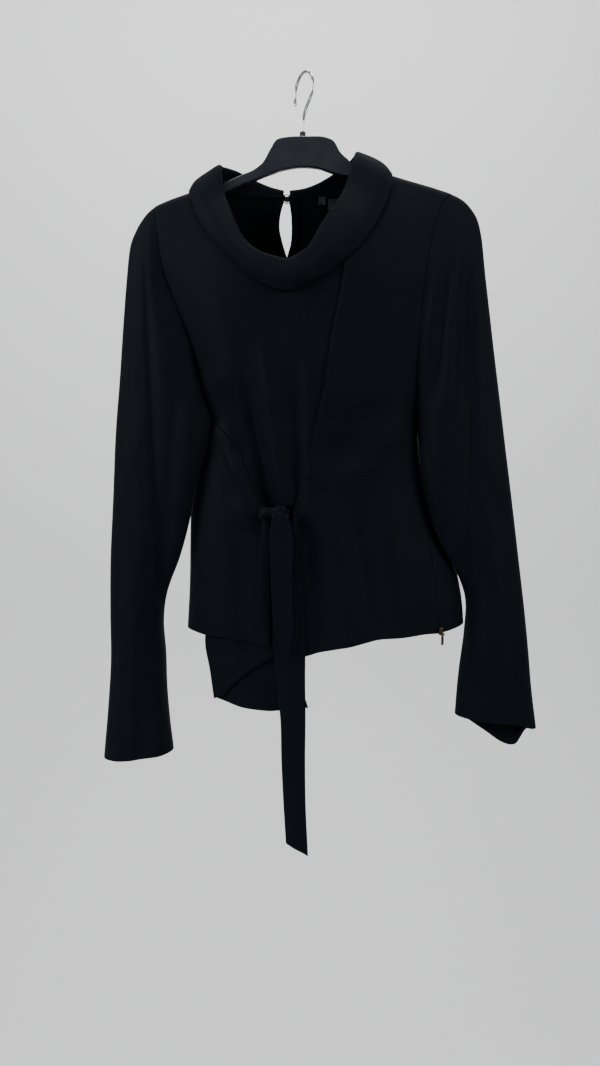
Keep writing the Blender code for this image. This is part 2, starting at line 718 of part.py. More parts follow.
def tie_loop():
    """A loop of the tie in front of its tail: down in front, round at the bottom, and up behind."""
    left = path((-33.5, -492.6), (-37, -530), (-36.5, -580), (-35, -618), (-31, -635))
    right = path((-15.5, -492.6), (-14, -530), (-13, -580), (-12.5, -615), (-16, -633))
    s = np.linspace(0, 1, 7)
    front, back, radius = 64.2, 60.6, 1.8
    rows = []
    for t, depth in [(t, front + 1.6 * math.sin(math.pi * t)) for t in np.linspace(0, 1, 13)]:
        rows.append((t, depth, 0.0))
    for turn in np.radians([45, 90, 135]):
        rows.append((1.0, (front + back) / 2 + radius * math.cos(turn), radius * math.sin(turn)))
    for t in np.linspace(1, 0, 11):
        rows.append((t, back, 0.0))
    points = []
    for k, (t, depth, drop) in enumerate(rows):
        a, b = left(t), right(t)
        flat = a + (b - a) * s[:, None]
        sag = 6.5 * t**4 * (1 - (2 * s - 1) ** 2) + drop + (1.2 if k == len(rows) - 1 else 0)
        points.append(np.stack([flat[:, 0], np.full_like(s, -depth), flat[:, 1] - sag], -1))
    return cloth("tie_loop", Sheet().grid(points))


def lower_drape():
    """A pointed fall of cloth behind the ties, folded double along its outer edge."""
    rows = 12
    fold = run(path((-58, -505), (-92, -560), (-113, -610), (-117, -640), (-111, -672), (-106, -706)), rows)
    near = chain(run(path((-17, -505), (-14, -590), (-14, -640)), 6),
                 run(path((-14, -640), (-36, -653), (-63, -669), (-84, -687), (-97, -702)), rows - 6))
    far = run(path((-17, -505), (-11, -600), (-5, -680), (5, -712)), rows)
    edge = run(path((-106, -706), (-92, -709), (-73, -714), (-43, -717), (1, -712), (5, -712)), 7)
    columns = []
    for share in np.linspace(0, 1, 6):
        columns.append(on_body(near + (fold - near) * share, "front", -2.2))
    behind = []
    for k in range(8):
        flat = fold + (far - fold) * k / 7
        flat[-1] = edge[k]
        points, normals = on_body(flat, "front", -6.2)
        behind.append((points, -normals))
    bend = (columns[-1][0] + behind[0][0]) / 2 + np.array([-1.6, 0, 0])
    columns.append((bend, np.tile([-1.0, 0, 0], (rows + 1, 1))))
    columns += behind
    points, normals = (np.stack(one, 1) for one in zip(*columns))
    return cloth("lower_drape", Sheet().grid(points, normals))


# ---------------------------------------------------------------- hanger

HANGER = table("x top bottom half", [
    (-187, -161, -166, 2.2), (-184, -157.5, -168, 3.4), (-166, -148, -160, 4.2), (-130, -134, -146, 5.0),
    (-110, -126, -138, 5.4), (-90, -117, -129, 5.6), (-71, -108.5, -120.5, 5.6), (-59, -104, -116, 5.6),
    (-50, -98, -112.5, 5.6), (-45, -93, -110.5, 5.6), (-38, -81, -108, 5.6), (-33, -73, -106.5, 5.6),
    (-28, -69.5, -104.5, 5.6), (-17, -67.5, -102, 5.6), (-6, -67, -100.5, 5.6), (6, -67, -100.5, 5.6),
    (18, -67, -102, 5.6), (27, -69, -105, 5.6), (34, -73, -107, 5.6), (41, -84, -109, 5.6),
    (50, -92, -110.5, 5.6), (58, -98.5, -112.5, 5.6), (80, -107.5, -120, 5.4), (98, -114.5, -127, 5.2),
    (143, -130, -142.5, 4.6), (178, -142.5, -154, 3.8), (189, -149.5, -157.5, 3.2), (194, -155, -159.5, 2.2),
])
# Half a section from the top down: the share of the half thickness, and of the height.
HANGER_SECTION = ((0.0, 0.0), (0.45, 0.07), (0.8, 0.3), (1.0, 0.55), (0.9, 0.85), (0.45, 0.98))


def hanger_body():
    rings = []
    for x, top, bottom, half in zip(*HANGER.values()):
        height = min(top - bottom, 13)
        ring = []
        for wide, low in HANGER_SECTION:
            z = top - low * height if low < 0.4 else bottom + (1 - low) * height
            ring.append((x, wide * half, z))
        ring.append((x, 0, bottom))
        ring += [(px, -py, pz) for px, py, pz in reversed(ring[1:-1])]
        rings.append(ring)
    return solid("hanger_body", *tube(rings), black_plastic(), 50)


def pipe(points, radius, around=10):
    """Rings round a line of points."""
    points = np.asarray(points, float)
    ahead = np.gradient(points, axis=0)
    ahead /= np.linalg.norm(ahead, axis=1, keepdims=True)
    side = np.cross(ahead[0], (0.31, 0.83, 0.46))
    rings = []
    for p, d in zip(points, ahead):
        side = side - d * np.dot(side, d)
        side /= np.linalg.norm(side)
        other = np.cross(d, side)
        turn = np.linspace(0, 2 * math.pi, around, endpoint=False)[:, None]
        rings.append(p + radius * (np.cos(turn) * side + np.sin(turn) * other))
    return tube(rings)


def hook():
    """A round wire hook, turned so that its mouth faces back and to the left."""
    radius = HOOK_INSIDE + WIRE / 2
    centre = WIRE / 2 - radius
    sweep = np.radians(np.linspace(-42, 212, 26))
    circle = np.stack([radius * np.cos(sweep), centre + radius * np.sin(sweep)], -1)
    stem = path((0, HEAD_TOP + 0.4), (0, -58), (1.2, -49), (5.5, -40.5), tuple(circle[0]))
    stem = stem(np.linspace(0, 1, 13))
    flat = chain(stem, circle)
    turn = math.radians(HOOK_TURN)
    start = -1.5
    points = np.stack([start + flat[:, 0] * math.cos(turn), -flat[:, 0] * math.sin(turn), flat[:, 1]], -1)
    points[:, 0] -= start * step_up(points[:, 2], -50, 0)
    solid("hook", *pipe(points, WIRE / 2), steel())
    hook_ferrule(start)


def hook_ferrule(x, around=20):
    """The ring round the foot of the hook's stem."""
    inside, outside = WIRE / 2 + 0.4, 3.4
    profile = ((inside, -66.6), (outside, -66.6), (outside, -62.6), (outside - 0.5, -62), (inside, -62))
    turn = np.linspace(0, 2 * math.pi, around, endpoint=False)
    points = [np.stack([x + r * np.cos(turn), r * np.sin(turn), 0 * turn + z], -1) for r, z in profile]
    faces = []
    for r in range(len(profile)):
        here, above = r * around, (r + 1) % len(profile) * around
        for i in range(around):
            j = (i + 1) % around
            faces.append([here + i, above + i, above + j, here + j])
    solid("hook_ferrule", np.concatenate(points), faces, steel())


# ---------------------------------------------------------------- button, labels, zip

BUTTON_CENTRE = (-19.8, 28.2, -127.0)
BUTTON_RADIUS = 3.5
PIN_CENTRE = (157.6, -628.0)        # the pull's pin, seen from the front
PIN_RADIUS = 0.6
EYE_RADIUS = 0.95                   # hole of the pull, so it swings 0.35 mm clear of the pin
PULL_LENGTH = 12.5


def turned(name, profile, centre, finish, around=24):
    """A solid turned about an axis along Y, from (radius, y) pairs."""
    turn = np.linspace(0, 2 * math.pi, around, endpoint=False)
    rings = [np.stack([r * np.cos(turn), 0 * turn + y, r * np.sin(turn)], -1) for r, y in profile]
    return solid(name, *tube(np.array(rings) + np.array(centre)), finish)


def neck_button():
    r = BUTTON_RADIUS
    turned("neck_button", ((r - 0.5, -0.8), (r, -0.3), (r, 0.3), (r - 0.5, 0.8)), BUTTON_CENTRE,
           material("button_black", (0.015, 0.015, 0.017), 0.3))
    x, _, z = BUTTON_CENTRE
    turn = np.radians(np.linspace(138, -138, 15))
    loop = [(x + 4.6 * math.cos(a), z + 4.6 * math.sin(a)) for a in turn]
    loop = np.array([(x - 8, z + 1.6)] + loop + [(x - 8, z - 2.6)])
    out = stand_out(loop[:, 0], loop[:, 1], "back") + 1.9
    solid("button_loop", *pipe(np.stack([loop[:, 0], out, loop[:, 1]], -1), 0.5, 8), crepe())


def patch(name, corners, layer, finish, side="back", thickness=1.0, steps=(5, 3)):
    """A small piece of cloth lying on the body: corners are top left, top right, then bottom ones."""
    across, down = (np.linspace(0, 1, n + 1) for n in steps)
    a, b, c, d = (np.array(one, float) for one in corners)
    flat = np.array([[(a + (b - a) * s) * (1 - r) + (c + (d - c) * s) * r for s in across] for r in down])
    return solid(name, *Sheet().grid(*on_body(flat, side, layer)).wall(thickness), finish)


def labels():
    black = material("label_black", (0.008, 0.008, 0.009), 0.45)
    grey = material("label_grey", (0.32, 0.32, 0.33), 0.7)
    patch("neck_label", ((28, -127.3), (56, -124.8), (28.5, -138.5), (56.5, -136)), -1.6, black)
    corners = ((19, -127.6), (25.5, -127.2), (19.2, -135.5), (25.7, -135.1))
    patch("size_tab", corners, -1.6, grey, steps=(2, 2))


def zip_tape():
    seam = run(ZIP_SEAM, 8, 0.3, 0.97)
    flat = np.stack([moved(seam, x=x) for x in (-7, -3.5, 0, 3, 6)], 1)
    return cloth("zip_tape", Sheet().grid(*on_body(flat, "front", -LAYER)))


def box(name, size, centre, parent, finish, bevel=0.3):
    """A block with bevelled edges, in the frame of its parent, in millimetres."""
    mesh = bpy.data.meshes.new(name)
    work = bmesh.new()
    bmesh.ops.create_cube(work, size=1)
    bmesh.ops.scale(work, vec=[s * MM for s in size], verts=work.verts)
    bmesh.ops.bevel(work, geom=work.edges[:], offset=bevel * MM, segments=2, affect="EDGES", profile=0.5)
    bmesh.ops.translate(work, vec=[c * MM for c in centre], verts=work.verts)
    work.to_mesh(mesh)
    work.free()
    mesh.materials.append(finish)
    mesh.shade_smooth()
    mesh.set_sharp_from_angle(angle=math.radians(40))
    made = bpy.data.objects.new(name, mesh)
    bpy.context.scene.collection.objects.link(made)
    made.parent = parent
    return made


def rod(name, radius, length, parent, finish, around=24):
    """A cylinder along the parent's X axis, through its origin."""
    mesh = bpy.data.meshes.new(name)
    work = bmesh.new()
    bmesh.ops.create_cone(work, cap_ends=True, segments=around, radius1=radius * MM, radius2=radius * MM,
                          depth=length * MM, matrix=Matrix.Rotation(math.pi / 2, 4, "Y"))
    work.to_mesh(mesh)
    work.free()
    mesh.materials.append(finish)
    mesh.shade_smooth()
    mesh.set_sharp_from_angle(angle=math.radians(40))
    made = bpy.data.objects.new(name, mesh)
    bpy.context.scene.collection.objects.link(made)
    made.parent = parent
    return made


def combine(target, tool, operation):
    """Adds tool to target, or cuts it out, and hides it."""
    step = target.modifiers.new(operation.lower() + "_" + tool.name, "BOOLEAN")
    step.operation = operation
    step.object = tool
    tool.hide_render = True
    tool.display_type = "WIRE"


def zip_slider():
    """The slider at the foot of the side zip, and the pull that swings on its pin."""
    metal = material("dark_brass", (0.16, 0.12, 0.07), 0.38, 1.0)
    x, z = PIN_CENTRE
    (surface,), (normal,) = on_body(np.array([(x, -622.0)]), "front")
    angle = math.atan2(normal[0], -normal[1])
    out = 5.6
    frame = bpy.data.objects.new("pull_axis", None)
    bpy.context.scene.collection.objects.link(frame)
    place = (surface[0] + out * math.sin(angle), surface[1] - out * math.cos(angle), z)
    frame.location = Vector(place) * MM
    frame.rotation_euler = (0, 0, angle)
    slider = box("zip_slider", (5.6, 2.2, 8.0), (0, 3.4, 3.0), frame, metal, 0.5)
    for k, side in enumerate((-2.2, 2.2)):
        lug = box("slider_lug_%d" % k, (0.9, 3.6, 2.2), (side, 0.9, 0), frame, metal, 0.15)
        combine(slider, lug, "UNION")
    combine(slider, rod("slider_pin", PIN_RADIUS, 4.6, frame, metal), "UNION")
    pull = rod("zip_pull", 1.65, 2.6, frame, metal)
    length = PULL_LENGTH - 2.0
    plate = box("pull_plate", (3.4, 0.8, length), (0, 0, -2.0 - length / 2), frame, metal, 0.2)
    neck = box("pull_neck", (2.4, 0.8, 2.0), (0, 0, -2.0), frame, metal, 0.1)
    combine(pull, neck, "UNION")
    combine(pull, plate, "UNION")
    combine(pull, rod("pull_hole", EYE_RADIUS, 8, frame, metal), "DIFFERENCE")


def clear_scene():
    for old in list(bpy.data.objects):
        bpy.data.objects.remove(old)


def main():
    clear_scene()
    front_drape()
    front_wrap()
    peplum_right()
    peplum_left()
    back_left()
    back_right()
    for side in ("left", "right"):
        sleeve(side)
    collar()
    waist_band()
    lump("knot", KNOT_CENTRE, KNOT_SIZE, crepe())
    ties()
    tie_loop()
    lower_drape()
    hanger_body()
    hook()
    neck_button()
    labels()
    zip_tape()
    zip_slider()


main()
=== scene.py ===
import functools
import math

import bpy
import numpy as np
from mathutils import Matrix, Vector


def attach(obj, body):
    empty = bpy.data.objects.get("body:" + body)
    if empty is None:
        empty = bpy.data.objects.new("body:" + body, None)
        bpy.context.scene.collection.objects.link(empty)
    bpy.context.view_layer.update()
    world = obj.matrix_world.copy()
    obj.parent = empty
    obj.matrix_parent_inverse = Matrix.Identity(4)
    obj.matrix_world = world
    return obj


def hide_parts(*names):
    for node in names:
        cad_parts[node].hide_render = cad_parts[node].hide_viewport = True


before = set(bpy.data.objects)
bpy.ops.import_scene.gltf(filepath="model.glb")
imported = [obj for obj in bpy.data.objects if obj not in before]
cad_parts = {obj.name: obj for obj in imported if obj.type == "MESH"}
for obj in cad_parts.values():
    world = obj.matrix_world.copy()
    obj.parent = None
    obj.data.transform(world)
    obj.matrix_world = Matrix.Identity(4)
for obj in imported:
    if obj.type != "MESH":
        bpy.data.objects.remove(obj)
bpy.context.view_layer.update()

# The tables are in millimetres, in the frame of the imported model: the origin is the top of the
# inside of the hook, +Z is up and the front faces -Y.
MM = 0.001
CLOTH = 0.8            # one layer of cloth
LAYER = 2.4            # from the middle of one layer to the middle of the next
OUT = 0.5              # front and back stand this far from the hanger's plane where they are sewn
SEWN = 0.25            # from a sewn edge to its seam
STEP = 2.5             # spacing of a sheet's points
TURN = 0.7             # radius of a folded hem
GARMENT = "garment"    # the body that carries every piece made here
SEED = {"knot": 5, "sleeve_left": 7, "sleeve_right": 8, "collar": 21, "tie_long": 31, "tie_short": 32,
        "lower_drape": 41}


# ---- small tools

def table(columns, rows):
    """Rows of numbers as {column name: array}."""
    return dict(zip(columns.split(), np.array(rows, float).T))


def folds(rows):
    """Soft folds. Each is a line from (x0, z0) to (x1, z1) that stands out by height.

    It falls off over left and right mm on its two sides.
    """
    return table("x0 z0 x1 z1 left right height", rows)


def smooth(knots, values, at):
    """A smooth curve through values at rising knots, read at the places in at."""
    values = np.asarray(values, float)
    at = np.clip(at, knots[0], knots[-1])
    slopes = np.gradient(values, knots, axis=0)
    i = np.clip(np.searchsorted(knots, at, side="right") - 1, 0, len(knots) - 2)
    width = knots[i + 1] - knots[i]
    t = (at - knots[i]) / width
    if values.ndim > 1:
        width, t = width[..., None], t[..., None]
    return (
        (2 * t**3 - 3 * t**2 + 1) * values[i]
        + (t**3 - 2 * t**2 + t) * width * slopes[i]
        + (3 * t**2 - 2 * t**3) * values[i + 1]
        + (t**3 - t**2) * width * slopes[i + 1]
    )


def path(*points):
    """A smooth curve through points, as a function of the share of its length."""
    points = np.array(points, float)
    steps = np.linalg.norm(np.diff(points, axis=0), axis=1)
    knots = np.concatenate([[0], np.cumsum(steps)]) / steps.sum()
    return lambda t: smooth(knots, points, np.asarray(t, float))


def beside(curve, distance):
    """A curve in the plane moved sideways, to the left of its direction."""
    def at(t):
        t = np.asarray(t, float)
        d = unit(curve(np.clip(t + 0.01, 0, 1)) - curve(np.clip(t - 0.01, 0, 1)))
        return curve(t) + distance * np.stack([-d[..., 1], d[..., 0]], -1)

    return at


def unit(vectors):
    """Vectors of any grid at unit length."""
    return vectors / np.maximum(np.linalg.norm(vectors, axis=-1, keepdims=True), 1e-9)


def whole_turn(count):
    """Angles once round a circle."""
    return np.linspace(0, 2 * math.pi, count, endpoint=False)


def step_up(value, start, end):
    """0 before start, 1 after end, and smooth between."""
    t = np.clip((value - start) / (end - start), 0, 1)
    return t * t * (3 - 2 * t)


# ---- the body's form

# Heights down the body: its left and right outline, and how far front and back stand out.
BODY = table("z left right front back", [
    (-80, -215, 220, 40, 34), (-148, -205, 207, 41, 36), (-200, -178, 186, 43, 38),
    (-260, -153, 165, 46, 39), (-320, -132, 146, 47, 38), (-350, -123, 139, 47, 38),
    (-368, -114, 135, 46, 37), (-381, -107, 132.5, 45, 37), (-401, -114.5, 133, 45, 37),
    (-419, -119.5, 135, 44, 37), (-453, -127, 142, 44, 38), (-488, -132.6, 151, 45, 39),
    (-513, -133.7, 159, 46, 40), (-523, -134, 164.3, 47, 41), (-538, -134.4, 173.2, 48, 42),
    (-556, -134.8, 180, 49, 43), (-586, -136, 187, 51, 45), (-630, -138.9, 191.5, 53, 47),
    (-720, -141, 194, 55, 49),
])

SHOULDER = table("x z", [
    (-200, -170), (-180.5, -154.5), (-169.5, -144.1), (-156, -137.6), (-134, -129.8), (-116, -123.5),
    (-92, -109), (-60, -95), (-15, -87), (30, -84), (60, -90), (88, -106.5), (100, -109.8), (121, -115.8),
    (148, -123.4), (168, -130.2), (181, -137), (200, -152),
])
RIDGE = 7.0                                 # the cloth lies this far out over the hanger's arms
FULL_DROP = {"front": 130.0, "back": 95.0}  # below the shoulder by this, it stands fully out
FLATNESS = 2.4                              # 2 is an ellipse in plan, more is flatter in the middle
EDGE_RIDGE, EDGE_FORM = 8, 9                # the same for how late both fall to the very outline
NEARBY = (-48, -32, -16, 16, 32, 48)        # the form follows the outline's mean over these heights
FOLD_RISE, FOLD_FADE = (-0.15, 0.35), (1.05, 1.35)     # where along its line a fold starts and ends

FOLDS = {
    "front": folds([
        (-66, -338, -36, -478, 19, 5, -14),  # deep hollow of the drape, running to the knot
        (-47, -300, -23, -478, 6, 11, 5.5),  # and the fold beside it
        (-9, -310, -7, -474, 15, 7, -7),
        (-93, -345, -72, -410, 10, 10, -7),  # pocket of shade above the band
        (-90, -415, -56, -478, 6, 5, 4),  # the band stands up
        (-110, -395, -84, -462, 12, 10, -4), (-4, -230, -8, -340, 18, 16, 2),
        (-150, -185, -98, -400, 8, 16, -4),  # hollow beside the armhole
        (-96, -230, -84, -330, 14, 14, 2.5),
        (122, -375, 62, -440, 12, 22, 3.5),  # pull from the armhole across the wrap
        (108, -345, 40, -415, 14, 16, -3), (120, -230, 112, -330, 16, 10, -2.5),
        (28, -455, 52, -640, 17, 13, 5.5),  # waves of the peplum's hem
        (52, -465, 88, -640, 12, 20, -6.5),
        (156, -150, 140, -235, 5, 5, -2.5),  # pulls at the armhole
        (4, -480, 16, -650, 8, 10, -3), (98, -470, 112, -640, 18, 16, 4),
        (136, -480, 142, -630, 8, 8, -2.4), (-108, -440, -112, -632, 16, 20, 3),
        (-72, -500, -70, -640, 12, 12, -3), (-128, -500, -130, -630, 8, 8, -1.8),
    ]),
    "back": folds([
        (-60, -200, -92, -620, 24, 20, 5), (20, -230, 34, -620, 20, 24, 5.5),
        (96, -240, 128, -620, 22, 18, 4), (-20, -320, -24, -620, 20, 16, -3.5),
        (66, -330, 84, -620, 16, 20, -3), (-104, -420, -118, -620, 12, 16, -2.5),
    ]),
}


def shoulder_height(x):
    """Height of the shoulder line at x."""
    return smooth(SHOULDER["x"], SHOULDER["z"], x)


def at_height(column, z):
    """One of BODY's columns at height z."""
    return smooth(-BODY["z"], BODY[column], -np.asarray(z, float))


def fold_height(lines, x, z):
    """How far the folds of a table stand out at (x, z)."""
    total = np.zeros_like(x)
    for x0, z0, x1, z1, left, right, height in zip(*lines.values()):
        dx, dz = x1 - x0, z1 - z0
        length = math.hypot(dx, dz)
        along = ((x - x0) * dx + (z - z0) * dz) / length**2
        across = ((z - z0) * dx - (x - x0) * dz) / length
        width = np.where(across < 0, left, right)
        ends = step_up(along, *FOLD_RISE) * (1 - step_up(along, *FOLD_FADE))
        total += height * ends * np.exp(-((across / width) ** 2))
    return total


def share_across(x, left, right):
    """0 in the middle between left and right, 1 at either of them and beyond."""
    return np.clip(np.abs((2 * x - left - right) / (right - left)), 0, 1)


def stand_out(x, z, side):
    """How far the body's front or back stands out from the plane of the hanger."""
    left, right = at_height("left", z), at_height("right", z)
    across = share_across(x, left, right)
    # The form is smoother than its outline, which it meets at the very edge.
    left = np.minimum(left, sum(at_height("left", z + d) for d in NEARBY) / len(NEARBY))
    right = np.maximum(right, sum(at_height("right", z + d) for d in NEARBY) / len(NEARBY))
    within = share_across(x, left, right)
    drop = np.maximum(shoulder_height(x) - z, 0)
    ridge = RIDGE * np.sqrt(1 - (1 - np.minimum(drop / RIDGE, 1)) ** 2)
    fullness = 1 - (1 - np.minimum(drop / FULL_DROP[side], 1)) ** 2
    depth = (at_height(side, z) - RIDGE) * fullness + fold_height(FOLDS[side], x, z)
    form = depth * np.sqrt((1 - within**FLATNESS) * (1 - across**EDGE_FORM))
    return ridge * np.sqrt(1 - across**EDGE_RIDGE) + form


def on_body(flat, side, layer=0.0):
    """Points of the front view put on the body's front or back, layer mm further out.

    It gives the points and the cloth's outward directions there.
    """
    x, z = flat[..., 0], flat[..., 1]
    step = 0.4
    across = (stand_out(x + step, z, side) - stand_out(x - step, z, side)) / (2 * step)
    down = (stand_out(x, z + step, side) - stand_out(x, z - step, side)) / (2 * step)
    facing = -1.0 if side == "front" else 1.0
    y = facing * (stand_out(x, z, side) + OUT)
    # On the outline and on the shoulder line the slopes are steep, and front and back agree.
    at_edge = np.abs(y) < 1.0
    outward = np.sign(x - (at_height("left", z) + at_height("right", z)) / 2)
    across = np.where(at_edge & (np.abs(across) + np.abs(down) < 0.01), -outward, across)
    normal = unit(np.stack([-across, np.where(at_edge, 0.0, facing), -down], -1))
    return np.stack([x, y, z], -1) + normal * np.asarray(layer, float)[..., None], normal


# ---- grids of points

def rumple(x, z, seed, count=9):
    """Gentle unevenness of hanging cloth, about 1 high: waves in many directions."""
    draw = np.random.default_rng(seed)
    total = np.zeros_like(x)
    for _ in range(count):
        wave, turn, start = draw.uniform(45, 120), draw.uniform(-0.5, 0.5), draw.uniform(0, 6.28)
        along = x * math.cos(turn) + z * math.sin(turn) * 0.6
        total += np.sin(along * 2 * math.pi / wave + start + 0.6 * np.sin(z / draw.uniform(50, 90)))
    return total / math.sqrt(count)


def straight(*points):
    """Straight lines through points, as a function of the share of their whole length."""
    points = np.array(points, float)
    knots = np.concatenate([[0], np.cumsum(np.linalg.norm(np.diff(points, axis=0), axis=1))])
    knots /= knots[-1]
    return lambda t: np.stack([np.interp(t, knots, points[:, k]) for k in (0, 1)], -1)


def joined(*curves):
    """Curves end to end, as one function of the share of the whole length."""
    points = np.concatenate([one(np.linspace(0, 1, 200)) for one in curves])
    steps = np.linalg.norm(np.diff(points, axis=0), axis=1)
    return straight(*points[np.concatenate([[True], steps > 1e-6])])


def stretch(curve, start, end):
    """A stretch of a curve, as a curve."""
    return lambda t: curve(start + (end - start) * np.asarray(t, float))


def side_line(side, top, bottom):
    """Down the body's outline in the front view."""
    def at(t):
        z = top + (bottom - top) * np.asarray(t, float)
        return np.stack([at_height(side, z), z], -1)

    return at


def shoulder_line(start, end):
    """Along the shoulders in the front view, from one x to another."""
    def at(t):
        x = start + (end - start) * np.asarray(t, float)
        return np.stack([x, shoulder_height(x)], -1)

    return at


def length_of(curve):
    return float(np.linalg.norm(np.diff(curve(np.linspace(0, 1, 100)), axis=0), axis=1).sum())


CLOSE = np.array([0, 0.4, 0.8, 1.3, 1.9, 2.7, 3.7, 5.0, 6.8, 9.0])      # spacing at a made edge


def shares(length, first, last, step=STEP):
    """Shares along a length, with points closer together at an end that is sewn or turned."""
    start = CLOSE / length if first else np.array([0.0])
    end = 1 - CLOSE[::-1] / length if last else np.array([1.0])
    count = max(2, round((end[0] - start[-1]) * length / step))
    return np.concatenate([start, np.linspace(start[-1], end[0], count + 1)[1:-1], end])


def fill(top, bottom, left, right, s, r):
    """A grid of the plane between four curves that meet at the corners."""
    t, b, l, e = top(s)[None], bottom(s)[None], left(r)[:, None], right(r)[:, None]
    s, r = s[None, :, None], r[:, None, None]
    corners = (
        (1 - s) * (1 - r) * t[:, :1] + s * (1 - r) * t[:, -1:] + (1 - s) * r * b[:, :1] + s * r * b[:, -1:]
    )
    return (1 - s) * l + s * e + (1 - r) * t + r * b - corners


ROLL, DIP = 1.8, 0.5          # a sewn edge rolls in over this width, by this much
ALLOWANCE = (2.6, 1.2)        # how deep the two rows of cloth inside its seam lie
EDGE_ROWS = 14                # rows that the roll can reach
HEM_ROWS = [9, 7, 5, 3, 1]    # rows of the cloth that a turned hem lies behind


def made_edge(points, normals, kind):
    """Makes the edge along a grid's first row: sewn, it rolls in to the seam; turned, it is hemmed."""
    if not kind:
        return points, normals
    points = points.copy()
    if kind == "sewn":
        steps = np.linalg.norm(np.diff(points[:EDGE_ROWS], axis=0), axis=-1)
        away = np.concatenate([np.zeros_like(steps[:1]), np.cumsum(steps, 0)])
        d = np.clip(away / ROLL, 0, 1)
        points[:len(away)] -= normals[:len(away)] * (DIP * (1 - np.sqrt(1 - (1 - d) ** 2)))[..., None]
        rows = [points[0] - normals[0] * k for k in ALLOWANCE]
        return np.concatenate([rows, points]), np.concatenate([normals[[0] * len(rows)], normals])
    outward = unit(points[0] - points[1])
    under = [points[k] - 2 * TURN * normals[k] for k in HEM_ROWS]
    arc = [points[0] + TURN * (math.sin(a) * outward - (1 - math.cos(a)) * normals[0])
           for a in np.radians([180, 135, 90, 45])]
    rows = HEM_ROWS + [0] * len(arc)
    return np.concatenate([under + arc, points]), np.concatenate([normals[rows], normals])


def both_edges(points, normals, first, last):
    """Makes the edges along a grid's first and last rows."""
    points, normals = made_edge(points, normals, first)
    return [one[::-1] for one in made_edge(points[::-1], normals[::-1], last)]


def finished(points, normals, top="", bottom="", left="", right=""):
    """The points of a cut piece whose edges are made."""
    points, normals = both_edges(points, normals, top, bottom)
    points, _ = both_edges(points.swapaxes(0, 1), normals.swapaxes(0, 1), left, right)
    return points.swapaxes(0, 1)


def panel(curves, side="front", layer=0.0, **edges):
    """Points of a cut piece on the body, between its top, bottom, left and right curves."""
    top, bottom, left, right = curves
    s = shares((length_of(top) + length_of(bottom)) / 2, edges.get("left"), edges.get("right"))
    r = shares((length_of(left) + length_of(right)) / 2, edges.get("top"), edges.get("bottom"))
    flat = fill(top, bottom, left, right, s, r)
    return finished(*on_body(flat, side, layer(flat) if callable(layer) else layer), **edges)


def directions(points, closed=False):
    """Unit directions square to a grid of points."""
    if closed:
        along = np.roll(points, -1, 1) - np.roll(points, 1, 1)
    else:
        along = np.gradient(points, axis=1)
    return unit(np.cross(np.gradient(points, axis=0), along))


def resampled(points, count, axis=0):
    """A grid with count rows along an axis, on a smooth surface through its points."""
    points = np.moveaxis(points, axis, 0)
    shape = points.shape
    knots = np.arange(len(points), dtype=float)
    found = smooth(knots, points.reshape(shape[0], -1), np.linspace(0, knots[-1], count))
    return np.moveaxis(found.reshape(count, *shape[1:]), 0, axis)


# ---- objects

def placed(name, data):
    """A new object of the scene."""
    made = bpy.data.objects.new(name, data)
    bpy.context.scene.collection.objects.link(made)
    return made


def mesh_of(name, points, faces, slot, nodes=None, smooth_angle=None):
    """A piece of the scene from points in millimetres, in the finish of its slot.

    It stands for the CAD node of its own name, or for the nodes given.
    """
    mesh = bpy.data.meshes.new(name)
    mesh.from_pydata((np.asarray(points) * MM).tolist(), [], faces)
    mesh.materials.append(finish(slot))
    mesh.shade_smooth()
    if smooth_angle:
        mesh.set_sharp_from_angle(angle=math.radians(smooth_angle))
    mesh.validate()
    made = placed(name + "_piece", mesh)
    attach(made, GARMENT)
    nodes = [name] if nodes is None else nodes
    if nodes:
        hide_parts(*nodes)
    return made


def grid_faces(rows, columns, closed=False, hollow=False):
    """Faces over a grid: closed joins its last column to its first, hollow its last row."""
    faces = []
    for i in range(rows if hollow else rows - 1):
        for j in range(columns if closed else columns - 1):
            a, b, k = i * columns, (i + 1) % rows * columns, (j + 1) % columns
            faces.append((a + j, b + j, b + k, a + k))
    return faces


def cloth(name, points, nodes=None, closed=False, thickness=CLOTH, slot="black_crepe"):
    """A sheet of cloth from a grid of points: its middle surface, given the cloth's thickness."""
    faces = grid_faces(*points.shape[:2], closed)
    made = mesh_of(name, points.reshape(-1, 3), faces, slot, nodes)
    wall = made.modifiers.new("wall", "SOLIDIFY")
    wall.thickness = thickness * MM
    wall.offset = 0
    return made


def oriented(points, faces):
    """The faces of a closed skin, turned so that they all face out."""
    volume = 0
    middle = points.mean(0)
    for face in faces:
        a, b, c = (points[face[k]] - middle for k in (0, 1, 2))
        volume += np.dot(a, np.cross(b, c))
        if len(face) == 4:
            volume += np.dot(a, np.cross(c, points[face[3]] - middle))
    return faces if volume > 0 else [face[::-1] for face in faces]


def skin(name, rings, slot="black_crepe", nodes=None, hollow=False, smooth_angle=None):
    """A closed skin over rings of equally many points, capped at both ends or joined up."""
    rings = np.asarray(rings, float)
    count, around = rings.shape[:2]
    faces = grid_faces(count, around, closed=True, hollow=hollow)
    if not hollow:
        faces.append(tuple(reversed(range(around))))
        faces.append(tuple((count - 1) * around + i for i in range(around)))
    points = rings.reshape(-1, 3)
    return mesh_of(name, points, oriented(points, faces), slot, nodes, smooth_angle)


# ---- edges of the cut pieces

